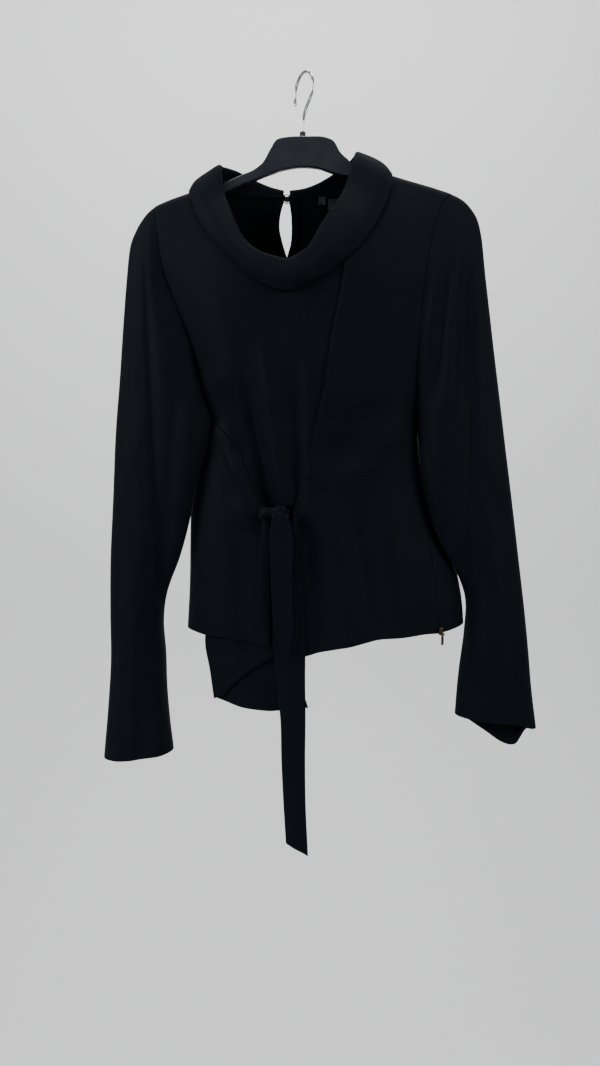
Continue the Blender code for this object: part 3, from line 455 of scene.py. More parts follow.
NECK_FRONT = path(
    (-116, -123.5), (-112, -140), (-102, -162), (-89, -182), (-73, -200), (-55, -214), (-37, -224),
    (-18, -228), (0, -224), (17, -214), (34, -200), (50, -185), (64, -166), (77, -144), (85, -124),
    (88, -106.5),
)
WRAP_START = 0.70       # where the wrap's edge leaves the neck seam
DRAPE_END = 0.80        # where the drape beneath the wrap ends
NECK_BACK = {
    "left": path((-116, -123.5), (-100, -125.5), (-81, -125.5), (-50, -125), (-22.5, -124.5)),
    "right": path((88, -106.5), (76, -114), (50, -121.5), (20, -124), (-17, -124.5)),
}
KEYHOLE = {
    "left": path((-22.5, -125.8), (-28, -142), (-29.6, -158), (-26.3, -174), (-20, -194)),
    "right": path((-17, -125.8), (-14, -142), (-13.3, -158), (-14.2, -174), (-20, -194)),
}
CENTRE_BACK = path((-20, -194), (-14, -300), (-4, -420), (10, -540), (20, -634))
ARMHOLE = {
    "left": path((-169.5, -144.1), (-165, -168), (-162.5, -194), (-157.5, -220), (-147, -247),
                 (-130.5, -289), (-120.5, -338), (-115.5, -356), (-106.5, -382)),
    "right": path((168, -130.2), (156, -142), (149, -160), (141, -188), (135.2, -222), (130.8, -266),
                  (128.8, -322), (128.8, -362), (131.5, -388)),
}
WRAP_EDGE = path((54, -186), (51, -225), (39, -272), (23, -345), (4, -435), (0, -448))
DRAPE_EDGE = path((72, -170), (68, -230), (50, -330), (32, -420), (14, -474))
WAIST = path((0, -448), (30, -445), (60, -446), (86, -448), (112, -451), (142, -455.5))
ZIP_FOOT = (157.6, -627)
ZIP_SEAM = path((142, -455), (140.5, -488), (144.5, -520), (150.5, -560), (155, -600), ZIP_FOOT)
BAND_LINE = path((-108, -389), (-95.5, -406), (-81, -431), (-66.5, -456), (-52, -482))
HEM_RIGHT = path((-8, -652), (0, -650), (41, -640), (87, -632), (145, -627), ZIP_FOOT)
HEM_LEFT = path((-138.8, -628), (-115, -630), (-91, -630.5), (-68, -634), (-39, -638))
HEM_BACK = path((-138.8, -628), (-80, -631), (20, -634), (110, -628), (190.9, -623))
HEM_BACK_CENTRE = 0.484
HEM_SIDE = {"left": -628, "right": -623}
UNDERARM, WAIST_SIDE = -392, -455       # heights at the sides
BAND_SEAM = 0.6                         # from the band's middle line to the cloth on either side
UNDER_WRAP = (-72, -14)                 # between these the drape goes down under the wrap
WRAP_LIFT, WRAP_REACH = 1.5, 13         # the wrap's free edge stands off the drape by this, over this


# ---- body panels

def front_drape():
    """The draped front, from the left armhole to under the wrap, gathered to the knot."""
    armhole = beside(ARMHOLE["left"], SEWN)
    neck = stretch(beside(NECK_FRONT, -SEWN), 0, DRAPE_END)
    band = beside(BAND_LINE, BAND_SEAM)
    left = joined(armhole, straight(armhole(1), band(0)))
    start = shoulder_line(left(0)[0], neck(0)[0])
    hidden = stretch(DRAPE_EDGE, 0.06, 1)
    top = joined(start, neck, straight(neck(1), hidden(0)))
    bottom = joined(band, straight(band(1), (-39, -481), (-20, -480), hidden(1)))
    return cloth("front_drape", panel(
        (top, bottom, left, hidden), layer=lambda flat: -LAYER * step_up(flat[..., 0], *UNDER_WRAP),
        top="sewn", left="sewn",
    ))


def front_wrap():
    """The other front, lapped over the drape along its slanting edge."""
    armhole = beside(ARMHOLE["right"], -SEWN)
    neck = stretch(beside(NECK_FRONT, -SEWN), 1, WRAP_START)
    start = shoulder_line(neck(0)[0], armhole(0)[0])
    top = joined(straight(WRAP_EDGE(0), neck(1)), stretch(neck, 1, 0), start)
    right = joined(armhole, side_line("right", UNDERARM, WAIST_SIDE))
    bottom = beside(WAIST, SEWN)
    return cloth("front_wrap", panel(
        (top, bottom, WRAP_EDGE, right),
        layer=lambda flat: WRAP_LIFT * np.exp(-((flat[..., 0] - flat[:, :1, 0]) / WRAP_REACH) ** 2),
        top="sewn", bottom="sewn", left="turned",
    ))


def peplum_right():
    """Below the waist seam: it hangs from the wrap, with the zip in its side seam."""
    left = path((0, -448), (-6, -466), (-11, -482), (-12, -530), (-10, -600), (-8, -652))
    right = beside(ZIP_SEAM, -SEWN)
    return cloth("peplum_right", panel(
        (beside(WAIST, -SEWN), HEM_RIGHT, left, right), top="sewn", right="sewn", bottom="turned",
    ))


def peplum_left():
    """Below the band: from the left side seam to a free edge beside the ties."""
    left = side_line("left", -388, HEM_SIDE["left"])
    right = path((-52, -482), (-44, -496), (-40, -560), (-39, -638))
    return cloth("peplum_left", panel(
        (beside(BAND_LINE, -BAND_SEAM), HEM_LEFT, left, right), top="sewn", bottom="turned", right="turned",
    ))


def back_panel(side):
    """One half of the back. The right one wraps round the side to the zip seam on the front."""
    sign = 1 if side == "left" else -1
    armhole = beside(ARMHOLE[side], SEWN * sign)
    outer = joined(armhole, side_line(side, UNDERARM, HEM_SIDE[side]))
    neck = beside(NECK_BACK[side], -SEWN * sign)
    slit = KEYHOLE[side]
    centre = beside(CENTRE_BACK, -SEWN * sign)
    inner = joined(straight(neck(1), slit(0)), slit, centre)
    top = joined(shoulder_line(outer(0)[0], neck(0)[0]), neck)
    hem = stretch(HEM_BACK, 0 if side == "left" else 1, HEM_BACK_CENTRE)
    points = panel((top, hem, outer, inner), side="back", top="sewn", bottom="turned", right="turned")
    made = cloth("back_" + side, points)
    if side == "left":
        return made
    zip_edge = beside(ZIP_SEAM, SEWN)
    outline = side_line("right", WAIST_SIDE, HEM_SIDE["right"])
    bottom = straight(outline(1), (ZIP_FOOT[0] + SEWN, ZIP_FOOT[1]))
    top = straight(outline(0), zip_edge(0))
    points = panel((top, bottom, outline, zip_edge), right="sewn", bottom="turned")
    return made, cloth("back_right_side", points, [])


# ---- sleeves

# Down each sleeve: the outer and the inner end of each ring, how deep the ring is, and how far
# its inner end hangs in front of the body's side.
SLEEVES = {
    "left": table("ox oz ix iz depth fore", [
        (-169.5, -144.1, -106.5, -382, 22, 0), (-176.5, -150, -103.6, -385.5, 23, 4.5),
        (-183.5, -158.5, -103.8, -390, 24, 8.5), (-190, -169, -106, -397, 25, 12),
        (-197.5, -188, -110.3, -408, 26, 15.5), (-202.5, -226, -116, -428, 27, 19),
        (-207.5, -275, -124.8, -458, 27, 21), (-213, -335, -132.5, -497, 26, 19),
        (-219.5, -400, -145.2, -540, 25, 13), (-224, -470, -162, -583, 25, 5),
        (-228.5, -540, -168, -620, 26, 0), (-230.5, -605, -166, -660, 27, 0),
        (-231.5, -668, -165.5, -700, 27, 0), (-236.5, -728, -163, -740, 27, 0),
        (-243, -788, -159, -779, 28, 0),
    ]),
    "right": table("ox oz ix iz depth fore", [
        (168, -130.2, 131.5, -388, 24, 0), (179.5, -136.2, 132.7, -391, 25, 4),
        (188.5, -145, 132.3, -395, 26, 8), (196.5, -158, 132.5, -401, 27, 10.5),
        (202, -180, 133.1, -411, 27, 14), (206.5, -215, 134.5, -428, 28, 18),
        (213.5, -265, 138.7, -456, 28, 21), (222, -325, 148.2, -493, 27, 21.5),
        (231.5, -390, 165.3, -532, 26, 20.5), (242, -460, 185.8, -571, 25, 9),
        (252, -528, 194.1, -600, 26, 2), (261, -592, 192.5, -640, 27, 0), (269, -652, 188, -678, 28, 0),
        (275, -705, 185.5, -708, 25, 0), (282, -752, 184, -735, 23, 0),
    ]),
}
SLEEVE_HEAD = (1, 0.85, 0.66, 0.45, 0.27, 0.13, 0.05)     # how much each ring keeps the armhole's shape
SLEEVE_AROUND, SLEEVE_DOWN = 190, 215

CUFF_DIP = {"left": 0.0, "right": 27.0}     # a corner at the cuff's back hangs this much lower
# That corner's shape, from the cuff's outer end to its inner one.
CORNER = ((0, 0), (0.05, 0.12), (0.12, 0.36), (0.18, 0.66), (0.25, 0.94), (0.31, 1), (0.383, 0.97),
          (0.62, 0.62), (0.857, 0.23), (1, 0))
CORNER_RINGS = 5                            # it draws on this many of the last rings
CORNER_ROUND = 0.3                          # and fades towards the cuff's ends: 1 is a sine
FORWARD = 0.8                               # it swings forward too, by this share
FRONT_DOWN, FRONT_FORWARD = 0.11, 0.2       # the front goes the other way by these shares

HEAD_STEPS = (0, 0.03, 0.07, 0.12, 0.2, 0.3)     # closer rings where it is sewn in, the rest after
HEAD_END = 0.36
RING_LENGTH = 45                            # between the last rings of SLEEVES
PLAIN_RINGS = (4, 22)                       # from no folds at the seam to full ones
FOLD_SHARE, RUMPLE = 0.85, 0.6

# Long folds down the sleeves, as in FOLDS.
SLEEVE_FOLDS = {
    ("left", "front"): folds([
        (-178, -185, -166, -560, 4.5, 14, -5),  # the long crease
        (-190, -215, -190, -640, 14, 12, 2.6), (-172, -165, -163, -400, 7, 10, 3.2),
        (-188, -180, -184, -330, 8, 9, -2.2), (-126, -325, -133, -440, 6, 8, 3.2),
        (-142, -330, -160, -540, 9, 6, -2.6), (-206, -300, -224, -700, 6, 9, -2.6),
        (-186, -560, -196, -785, 8, 12, -3.4), (-174, -640, -172, -785, 8, 8, 2.8),
        (-214, -600, -224, -785, 8, 8, 2.8), (-180, -380, -210, -470, 8, 6, 1.6),
        (-170, -520, -200, -600, 7, 7, -1.6),
    ]),
    ("left", "back"): folds([
        (-172, -210, -184, -600, 7, 11, -4.5), (-196, -260, -212, -640, 10, 8, 3.4),
        (-150, -330, -176, -560, 8, 9, 3), (-190, -560, -204, -780, 9, 11, -3),
        (-216, -620, -228, -785, 8, 8, 2.6),
    ]),
    ("right", "front"): folds([
        (192, -215, 190, -600, 17, 4.5, -5.5),  # the long crease
        (184, -185, 182, -290, 8, 9, -3),
        (165, -205, 153, -325, 7, 3, -4),  # short crease by the armhole
        (150, -160, 134, -330, 5, 7, 4), (158, -160, 150, -270, 5, 6, -2.4),
        (168, -165, 162, -380, 6, 9, 3), (182, -170, 178, -330, 8, 9, -2.4),
        (208, -250, 222, -640, 14, 16, 3), (148, -400, 172, -520, 7, 9, 2.8),
        (134, -330, 140, -420, 5, 6, -2), (232, -480, 254, -735, 8, 11, -3.6),
        (212, -600, 208, -735, 10, 8, 3), (200, -430, 226, -500, 8, 8, -1.8),
        (206, -520, 240, -600, 8, 8, 1.6),
    ]),
    ("right", "back"): folds([
        (172, -190, 196, -520, 8, 10, -4.2), (196, -240, 218, -600, 10, 8, 3.4),
        (156, -330, 184, -560, 8, 8, 2.8), (222, -520, 246, -760, 8, 11, -3.2),
        (206, -600, 206, -760, 8, 8, 2.6),
    ]),
}


def tube_directions(rings):
    """Unit directions square to a tube, facing out."""
    normals = directions(rings, closed=True)
    from_middle = rings[:, :1] - rings.mean(1, keepdims=True)
    return normals * np.sign(np.sum(normals[:, :1] * from_middle, -1, keepdims=True))


def sleeve(side):
    """A tube from the armhole to an open end."""
    turn = whole_turn(SLEEVE_AROUND)
    down = (1 - np.cos(turn)) / 2
    in_front = turn <= math.pi
    flat = ARMHOLE[side](down)
    first = np.where(in_front[:, None], on_body(flat, "front")[0], on_body(flat, "back")[0])
    first[0, 1] = first[SLEEVE_AROUND // 2, 1] = 0
    rings = []
    for ox, oz, ix, iz, depth, fore in zip(*SLEEVES[side].values()):
        outer, inner = np.array([ox, 0, oz]), np.array([ix, 0, iz])
        ring = outer + (inner - outer) * down[:, None]
        ring[:, 1] = -depth * np.sin(turn) - fore * down**2
        rings.append(ring)
    rings = np.array(rings)
    head = first - rings[0]
    for ring, kept in zip(rings, SLEEVE_HEAD):
        ring += kept * head
    corner = smooth(*np.array(CORNER).T, down)
    behind, before = (np.maximum(sign * np.sin(turn), 0) ** CORNER_ROUND * corner for sign in (-1, 1))
    for ring, share in zip(rings[-CORNER_RINGS:], np.linspace(0, 1, CORNER_RINGS + 1)[1:]):
        ring[:, 2] -= CUFF_DIP[side] * share * (behind - FRONT_DOWN * before)
        ring[:, 1] -= CUFF_DIP[side] * share**2 * (FORWARD * behind - FRONT_FORWARD * before)
    # Closer rings where the sleeve is sewn in and at its hem.
    last = len(rings) - 1
    at = np.linspace(0, last, SLEEVE_DOWN)
    at = np.unique(np.concatenate([HEAD_STEPS, at[at > HEAD_END][:-3], last - CLOSE[::-1] / RING_LENGTH]))
    rings = smooth(np.arange(last + 1.0), rings.reshape(last + 1, -1), at).reshape(-1, SLEEVE_AROUND, 3)
    x, z = rings[..., 0], rings[..., 2]
    front, back = (fold_height(SLEEVE_FOLDS[side, one], x, z) for one in ("front", "back"))
    rise = np.where(in_front, front, back)
    rise = rise + RUMPLE * rumple(x * 1.4 + 40 * in_front, z, SEED["sleeve_" + side])
    facing = np.abs(np.sin(turn))[None] ** 0.7
    away = step_up(np.arange(len(rings)), *PLAIN_RINGS)[:, None]
    rings = rings + tube_directions(rings) * (FOLD_SHARE * rise * facing * away)[..., None]
    points, _ = both_edges(rings, tube_directions(rings), "sewn", "turned")
    halves = [f"sleeve_{side}_{half}" for half in ("front", "back")]
    return cloth("sleeve_" + side, points, halves, closed=True)


# ---- collar

FOLD_RADIUS = 3.2

# Round the neck from one end at the centre back to the other: the top of the fold, the edge of
# the fall (as it is seen from the front, and how far it stands off the body), and the foot's
# share of its neck seam.
COLLAR = table("kx ky kz ex ez off seam foot", [
    (-24, 27.5, -117.5, -36, -157, 8, 0, 1), (-42, 26.5, -113, -52, -156, 7, 0, 0.78),
    (-62, 22.5, -105, -78, -151, 5, 0, 0.52), (-78, 14, -99.5, -104, -142, 4.5, 0, 0.27),
    (-90, 6, -98.5, -123, -133, 4, 0, 0.07), (-92, 0, -99.5, -129.5, -127, 0, 1, 0),
    (-92, -7, -104, -127, -132, 3.8, 1, 0.03), (-88.5, -15, -131, -119, -156, 3.6, 1, 0.11),
    (-78.5, -26, -157, -103, -181, 4, 1, 0.2), (-68, -34.5, -181, -84, -200.5, 3.8, 1, 0.28),
    (-55, -40.5, -195, -64, -221, 3.2, 1, 0.345), (-43, -44, -202, -48, -232, 3.2, 1, 0.395),
    (-30, -46, -206.5, -33, -239, 3.2, 1, 0.44), (-18, -47, -209.5, -18.5, -241, 3.2, 1, 0.48),
    (-8, -46.5, -204, -4, -237.5, 3.2, 1, 0.515), (5, -45, -194, 13, -228.5, 3.2, 1, 0.57),
    (16, -41, -176, 34, -215, 3.2, 1, 0.64), (27, -34, -157, 54, -199, 4, 1, 0.71),
    (40, -25, -140, 72, -177, 3.8, 1, 0.79), (48, -15, -119, 85, -154, 4.2, 1, 0.87),
    (54, -11.5, -98, 94, -134, 3.8, 1, 0.93), (57, -5, -87.5, 97.5, -119, 4, 1, 0.98),
    (57.5, 0, -85, 99, -106.5, 0, 1, 1), (57, 6, -85.5, 97, -115, 4.2, 2, 0.06),
    (54.5, 11, -87.5, 91, -125, 4.5, 2, 0.14), (50, 16, -91, 82, -134, 4.5, 2, 0.22),
    (38, 23, -98, 58, -146, 5, 2, 0.42), (20, 26.5, -108, 30, -154, 5.5, 2, 0.62),
    (2, 27.5, -115, 10, -157, 7, 2, 0.82), (-15.5, 27.5, -117.5, -4, -158, 8, 2, 1),
])
COLLAR_STATIONS = 42
COLLAR_GRID = (230, 52)      # points round the neck and over the fold
NECK_MIDDLE = (-17, 0, 0)
# The roll's section, out and up in fold radii, and how far the fall bows out at shares of its width.
ROLL_SHAPE = ((-1, -1.1), (-0.65, -0.25), (0, 0), (0.65, -0.25), (1, -1.1))
FALL_SHAPE = ((0.25, 2.4), (0.5, 3.9), (0.75, 3.6))


def collar():
    """A turned-over collar, open at the centre back: (foot, stand, fold, fall, edge) round the neck."""
    feet, folds_at, edges = [], [], []
    for kx, ky, kz, ex, ez, off, seam, foot in zip(*COLLAR.values()):
        curve = (NECK_BACK["left"], NECK_FRONT, NECK_BACK["right"])[int(seam)]
        side, facing = ("front", -1) if seam == 1 else ("back", 1)
        foot_point = on_body(curve(foot), side)[0]
        y = facing * (float(stand_out(np.array(ex), np.array(ez), side)) + off)
        if off == 0:
            # At the shoulder, front and back meet.
            foot_point[1] = y = 0
        feet.append(foot_point)
        folds_at.append((kx, ky, kz))
        edges.append((ex, y, ez))
    feet, folds_at, edges = (resampled(np.array(one), COLLAR_STATIONS) for one in (feet, folds_at, edges))
    rows = []
    for foot, fold, edge, tangent in zip(feet, folds_at, edges, np.gradient(folds_at, axis=0)):
        tangent = tangent / np.linalg.norm(tangent)
        crest = fold - (foot + edge) / 2
        crest -= tangent * np.dot(crest, tangent)
        crest /= np.linalg.norm(crest)
        out = np.cross(tangent, crest)
        out *= np.sign(np.dot(out, edge - foot))
        roll = [fold + FOLD_RADIUS * (across * out + up * crest) for across, up in ROLL_SHAPE]
        fall = [roll[-1] + (edge - roll[-1]) * share + bow * out for share, bow in FALL_SHAPE]
        rows.append([foot, (foot + roll[0]) / 2, *roll, *fall, edge])
    points = resampled(resampled(np.array(rows), COLLAR_GRID[0]), COLLAR_GRID[1], axis=1)
    # Closer columns at the edge of the fall, and closer rows at both ends.
    points = with_close(points, 1, last=True)
    points = with_close(points, 0, first=True, last=True)
    normals = directions(points)
    if np.sum(normals[:, -1] * (points[:, -1] - NECK_MIDDLE) * [1, 1, 0]) < 0:
        normals = -normals
    # Soft pulls of the bias roll, stronger in front.
    x, y, z = points[..., 0], points[..., 1], points[..., 2]
    pull = 0.7 * rumple(x * 1.5 + z, z - x * 0.4, SEED["collar"]) * step_up(-y, -20, 30)
    across = np.linspace(0, 1, points.shape[1])[None]
    points = points + normals * (pull * np.sin(math.pi * np.clip(across * 1.15 - 0.15, 0, 1)))[..., None]
    points = finished(points, normals, top="turned", bottom="turned", right="turned")
    return cloth("collar", points, thickness=1.0)


def with_close(points, axis, first=False, last=False):
    """A grid with closer points at one or both ends of an axis."""
    points = np.moveaxis(points, axis, 0)
    steps = np.linalg.norm(np.diff(points, axis=0), axis=-1).mean(tuple(range(1, points.ndim - 1)))
    knots = np.concatenate([[0], np.cumsum(steps)])
    at = shares(knots[-1], first, last) * knots[-1]
    shape = points.shape
    found = smooth(knots, points.reshape(shape[0], -1), at).reshape(len(at), *shape[1:])
    return np.moveaxis(found, 0, axis)


# ---- waist: band, knot, ties, lower drape

TAPER, TIP = 3, 0.45      # rows over which a ribbon thins at its ends, and to what share


def ribbon(name, points, normals, thickness):
    """A flat tube of cloth round the middle surface given, thin at its edges and its ends."""
    rows, columns = points.shape[:2]
    s = np.linspace(-1, 1, columns)
    high = thickness / 2 * (1 - np.abs(s) ** 6) ** 0.5
    ends = np.ones(rows)
    ends[:TAPER] = np.linspace(TIP, 1, TAPER)
    ends[-TAPER:] = np.linspace(1, TIP, TAPER)
    lift = normals * (high * ends[:, None])[..., None]
    rings = np.concatenate([points + lift, (points - lift)[:, -2:0:-1]], 1)
    return skin(name, rings)


def eased(count):
    """Shares from 0 to 1 that are closer together at both ends."""
    return (1 - np.cos(np.linspace(0, math.pi, count))) / 2


def hanging(left, right, depth, rows, columns, wave):
    """A grid between two hanging edges.

    It hangs depth in front of the hanger's plane, from its top to its end, with a wave across it.
    """
    t, s = np.linspace(0, 1, rows), eased(columns)
    a, b = left(t)[:, None], right(t)[:, None]
    flat = a + (b - a) * s[None, :, None]
    y = smooth(np.linspace(0, 1, len(depth)), np.array(depth, float), t)[:, None]
    sway = smooth(np.linspace(0, 1, len(wave)), np.array(wave, float), s)[None]
    # The wave is held flat where the edges start, and is whole within an eighth of their length.
    y = y + sway * np.minimum(t * 6 + 0.3, 1)[:, None]
    return np.stack([flat[..., 0], -y, flat[..., 1]], -1)


def waist_band():
    """The narrow band along the slanting seam, from the side to the knot."""
    upper = path((-99, -388), (-87, -400.5), (-78.2, -412), (-71, -424), (-66.2, -438), (-60.5, -456),
                 (-53.5, -471), (-46, -479))
    lower = path((-103.5, -398), (-96.5, -411), (-84.5, -430), (-71, -453), (-61, -472), (-55.5, -485))
    t, s = np.linspace(0, 1, 60), np.linspace(0, 1, 15)
    flat = lower(t)[:, None] * (1 - s[:, None]) + upper(t)[:, None] * s[:, None]
    points, normals = on_body(flat, "front", 1.5)
    # Pleats that deepen towards the knot.
    ripple = 0.35 * np.sin(t[:, None] * 55 + s * 3) * step_up(t[:, None], 0.35, 1)
    return ribbon("waist_band", points + normals * ripple[..., None], normals, 1.4)


KNOT_CENTRE = (-33.5, -55.2, -485)
KNOT_SIZE = (16.5, 7.4, 7.0)      # half of its length, depth and height


def knot():
    """Cloth gathered where the band, the drape and the ties meet."""
    draw = np.random.default_rng(SEED["knot"])
    turn = whole_turn(96)
    c, s = np.cos(turn), np.sin(turn)
    # Pleats along it: how fast each waves, how far it leans round the knot, and where it starts.
    pleats = [(draw.uniform(0.35, 1.0), draw.uniform(-1.4, 1.4), draw.uniform(0, 6.28)) for _ in range(5)]
    rows = []
    for t in np.linspace(-0.97, 0.97, 110):
        a = t * math.pi / 2
        x = KNOT_SIZE[0] * math.sin(a)
        r = abs(math.cos(a)) ** 0.55 * (1 - 0.22 * math.cos(x * 0.21 + 0.6))
        waves = sum(np.sin(x * wave + lean * s * 2 + start) for wave, lean, start in pleats) / len(pleats)
        swell = 1 + 0.4 * waves
        deep, high = (r * np.sign(k) * np.abs(k) ** 0.9 for k in (c, s))
        rows.append(np.stack([
            KNOT_CENTRE[0] + x + 1.4 * np.sin(turn * 2 + x * 0.3),
            KNOT_CENTRE[1] + KNOT_SIZE[1] * deep * np.minimum(swell, 1.12),
            KNOT_CENTRE[2] + KNOT_SIZE[2] * high * swell - 2.5 * (x / 20) ** 2,
        ], -1))
    return skin("knot", rows)


def ties():
    """The long and the short tie, which hang from the knot."""
    long_tie = hanging(
        path((-37, -493.6), (-37, -538), (-36, -584), (-35, -630), (-32, -677), (-27, -724), (-26, -771),
             (-24, -819), (-21, -872)),
        path((-12, -493.6), (-5, -538), (-1, -584), (1.5, -630), (1.5, -677), (2, -724), (1.5, -771),
             (2, -819), (5, -889)),
        (58.2, 57.2, 57, 57.4, 57.6, 58, 58), 190, 30, (0, 0.5, 0.8, 0.4, -0.4, -0.8),
    )
    short_tie = hanging(
        path((-46.5, -492.4), (-51, -539), (-53, -585), (-53, -636)),
        path((-39.5, -492.4), (-38.5, -539), (-38.5, -585), (-39, -636)),
        (56.5, 56, 57, 58), 80, 20, (0, 1, 0.5),
    )
    found = []
    for name, points, high, close in (("tie_long", long_tie, 0.5, 3), ("tie_short", short_tie, 0.3, 4)):
        points[..., 1] -= high * rumple(points[..., 0] * close, points[..., 2], SEED[name])
        found.append(ribbon(name, points, directions(points), 1.5))
    return found


def tie_loop():
    """A loop of the tie in front of its tail: over the knot, down in front, and up behind."""
    left = path((-35.5, -489), (-38, -506), (-37.5, -545), (-36.2, -585), (-33.5, -618), (-28, -636))
    right = path((-17, -489), (-13, -506), (-13, -545), (-13, -585), (-12, -615), (-14, -633))
    s = eased(30)
    front, back, radius = 64.4, 60.6, 1.9
    # Down its length: the share of it, how far it stands out, and how far it drops.
    rows = [(0.0, front - 4.2 * (1 - math.cos(a)), -5.6 * math.sin(a))
            for a in np.radians([75, 60, 45, 30, 15])]
    rows += [(t, front + 1.5 * math.sin(math.pi * t), 0.0) for t in np.linspace(0, 1, 70)]
    in_front = len(rows)
    rows += [(1.0, (front + back) / 2 + radius * math.cos(a), radius * math.sin(a))
             for a in np.radians([22, 45, 67, 90, 112, 135, 157])]
    rows += [(t, back, 0.0) for t in np.linspace(1, 0.05, 50)]
    points = []
    for k, (t, depth, drop) in enumerate(rows):
        a, b = left(t), right(t)
        flat = a + (b - a) * s[:, None]
        sag = 7.5 * t**4 * (1 - np.abs(2.25 * s - 1.3) ** 2.2).clip(-0.5) + drop
        # Gathered where it comes out of the knot, with a long crease below.
        gather = 0
        if k < in_front:
            gather = math.exp(-((t / 0.1) ** 2)) * np.sin(s * 13 + 0.7) + 0.5 * np.sin(s * 6.3 + 0.5)
        top = 3.0 * (2 * s - 1) ** 2 * max(0, 1 - t / 0.06)
        y = -depth - 0.7 * gather + 0 * s
        points.append(np.stack([flat[:, 0], y, flat[:, 1] - sag - top], -1))
    points = np.array(points)
    return ribbon("tie_loop", points, directions(points), 1.3)


FRONT_LAYER, BEHIND_LAYER = -3.2, -6.6      # how far its two layers lie from the body's own cloth


def lower_drape():
    """A pointed fall of cloth behind the ties, folded double along its outer edge."""
    fold = path((-58, -505), (-92, -560), (-113, -610), (-117, -640), (-111, -672), (-106, -706))
    upper = path((-17, -505), (-14, -590), (-14, -640))
    lower = path((-14, -640), (-36, -653), (-63, -669), (-84, -687), (-97, -702))
    far = path((-17, -505), (-11, -600), (-5, -680), (5, -712))
    edge = path((-106, -706), (-92, -709), (-73, -714), (-43, -717), (1, -712), (5, -712))
    r = np.linspace(0, 1, 100)
    near = np.where((r < 0.5)[:, None], upper(np.minimum(2 * r, 1)), lower(np.maximum(2 * r - 1, 0)))
    columns, behind = [], []
    for share in np.linspace(0, 1, 30):
        points, facing = on_body(near + (fold(r) - near) * share, "front", FRONT_LAYER)
        columns.append(points)
    for share in np.linspace(0, 1, 50):
        flat = fold(r) + (far(r) - fold(r)) * share
        flat += (edge(share) - flat[-1]) * (r**6)[:, None]
        behind.append(on_body(flat, "front", BEHIND_LAYER)[0])
    bend = (columns[-1] + behind[0]) / 2
    radius = (FRONT_LAYER - BEHIND_LAYER) / 2
    across = unit(columns[-1] - columns[-2])
    for turn in np.radians([30, 60, 90, 120, 150]):
        columns.append(bend + radius * (math.cos(turn) * facing + math.sin(turn) * across))
    points = np.stack(columns + behind, 1)
    points[..., 1] -= 0.5 * rumple(points[..., 0] * 1.6, points[..., 2], SEED["lower_drape"])
    return cloth("lower_drape", points)


# ---- hanger and hook

HANGER = table("x top bottom half", [
    (-181.5, -162, -166.5, 2), (-178.5, -158, -167, 3.2), (-166, -149.5, -161, 4.2),
    (-130, -134.5, -146, 5), (-110, -126, -138, 5.4), (-90, -117, -129, 5.6),
    (-71, -108.5, -120.5, 5.6), (-59, -104, -116, 5.6), (-50, -98, -112.5, 5.6), (-45, -93, -110.5, 5.6),
    (-38, -81, -108, 5.6), (-33, -73, -106.5, 5.6), (-28, -69.5, -104.5, 5.6), (-17, -67.5, -102, 5.6),
    (-6, -67, -100.5, 5.6), (6, -67, -100.5, 5.6), (18, -67, -102, 5.6), (27, -69, -105, 5.6),
    (34, -73, -107, 5.6), (41, -84, -109, 5.6), (50, -92, -110.5, 5.6), (58, -98.5, -112.5, 5.6),
    (80, -107.5, -120, 5.4), (98, -114.5, -127, 5.2), (143, -130, -142.5, 4.6), (178, -142.5, -154, 3.8),
    (189, -149.5, -157.5, 3.2), (194, -155, -159.5, 2.2),
])
# Half a section from the top down: the share of the half thickness, and of the height.
HANGER_SECTION = ((0, 0), (0.5, 0.02), (0.86, 0.1), (0.97, 0.24), (1, 0.5), (1, 0.82), (0.9, 0.92),
                  (0.5, 0.99))
ARM_HEIGHT = 13       # the section's own height; between its rounded ends it is as high as it has to be


def hanger_body():
    """The moulded hanger, one ring for each row of its table."""
    rings = []
    for x, top, bottom, half in zip(*HANGER.values()):
        height = min(top - bottom, ARM_HEIGHT)
        ring = []
        for wide, low in HANGER_SECTION:
            z = top - low * height if low < 0.4 else bottom + (1 - low) * height
            ring.append((x, wide * half, z))
        ring.append((x, 0, bottom))
        ring += [(px, -py, pz) for px, py, pz in reversed(ring[1:-1])]
        rings.append(ring)
    rings = resampled(np.array(rings), 260)
    rings = resampled(np.concatenate([rings, rings[:, :1]], 1), 73, axis=1)[:, :-1]
    return skin("hanger_body", rings, "black_plastic")


def pipe(points, radius, around=24):
    """Rings round a line of points. radius may be one number, or one for each point."""
    points = np.asarray(points, float)
    radius = np.broadcast_to(radius, len(points))
    turn = whole_turn(around)[:, None]
    ahead = unit(np.gradient(points, axis=0))
    side = np.cross(ahead[0], (0.31, 0.83, 0.46))
    rings = []
    for p, d, r in zip(points, ahead, radius):
        side = side - d * np.dot(side, d)
        side /= np.linalg.norm(side)
        rings.append(p + r * (np.cos(turn) * side + np.sin(turn) * np.cross(d, side)))
    return rings


WIRE = 3.5               # the wire's diameter
HOOK_INSIDE = 18.0       # radius inside the hook
HOOK_TURN = 60.0         # degrees about the stem
HEAD_TOP, STEM_X = -67.0, -1.5
WIRE_END = 0.55          # the free end is rounded to this share of the wire
FERRULE = 3.4            # the ferrule's outside radius


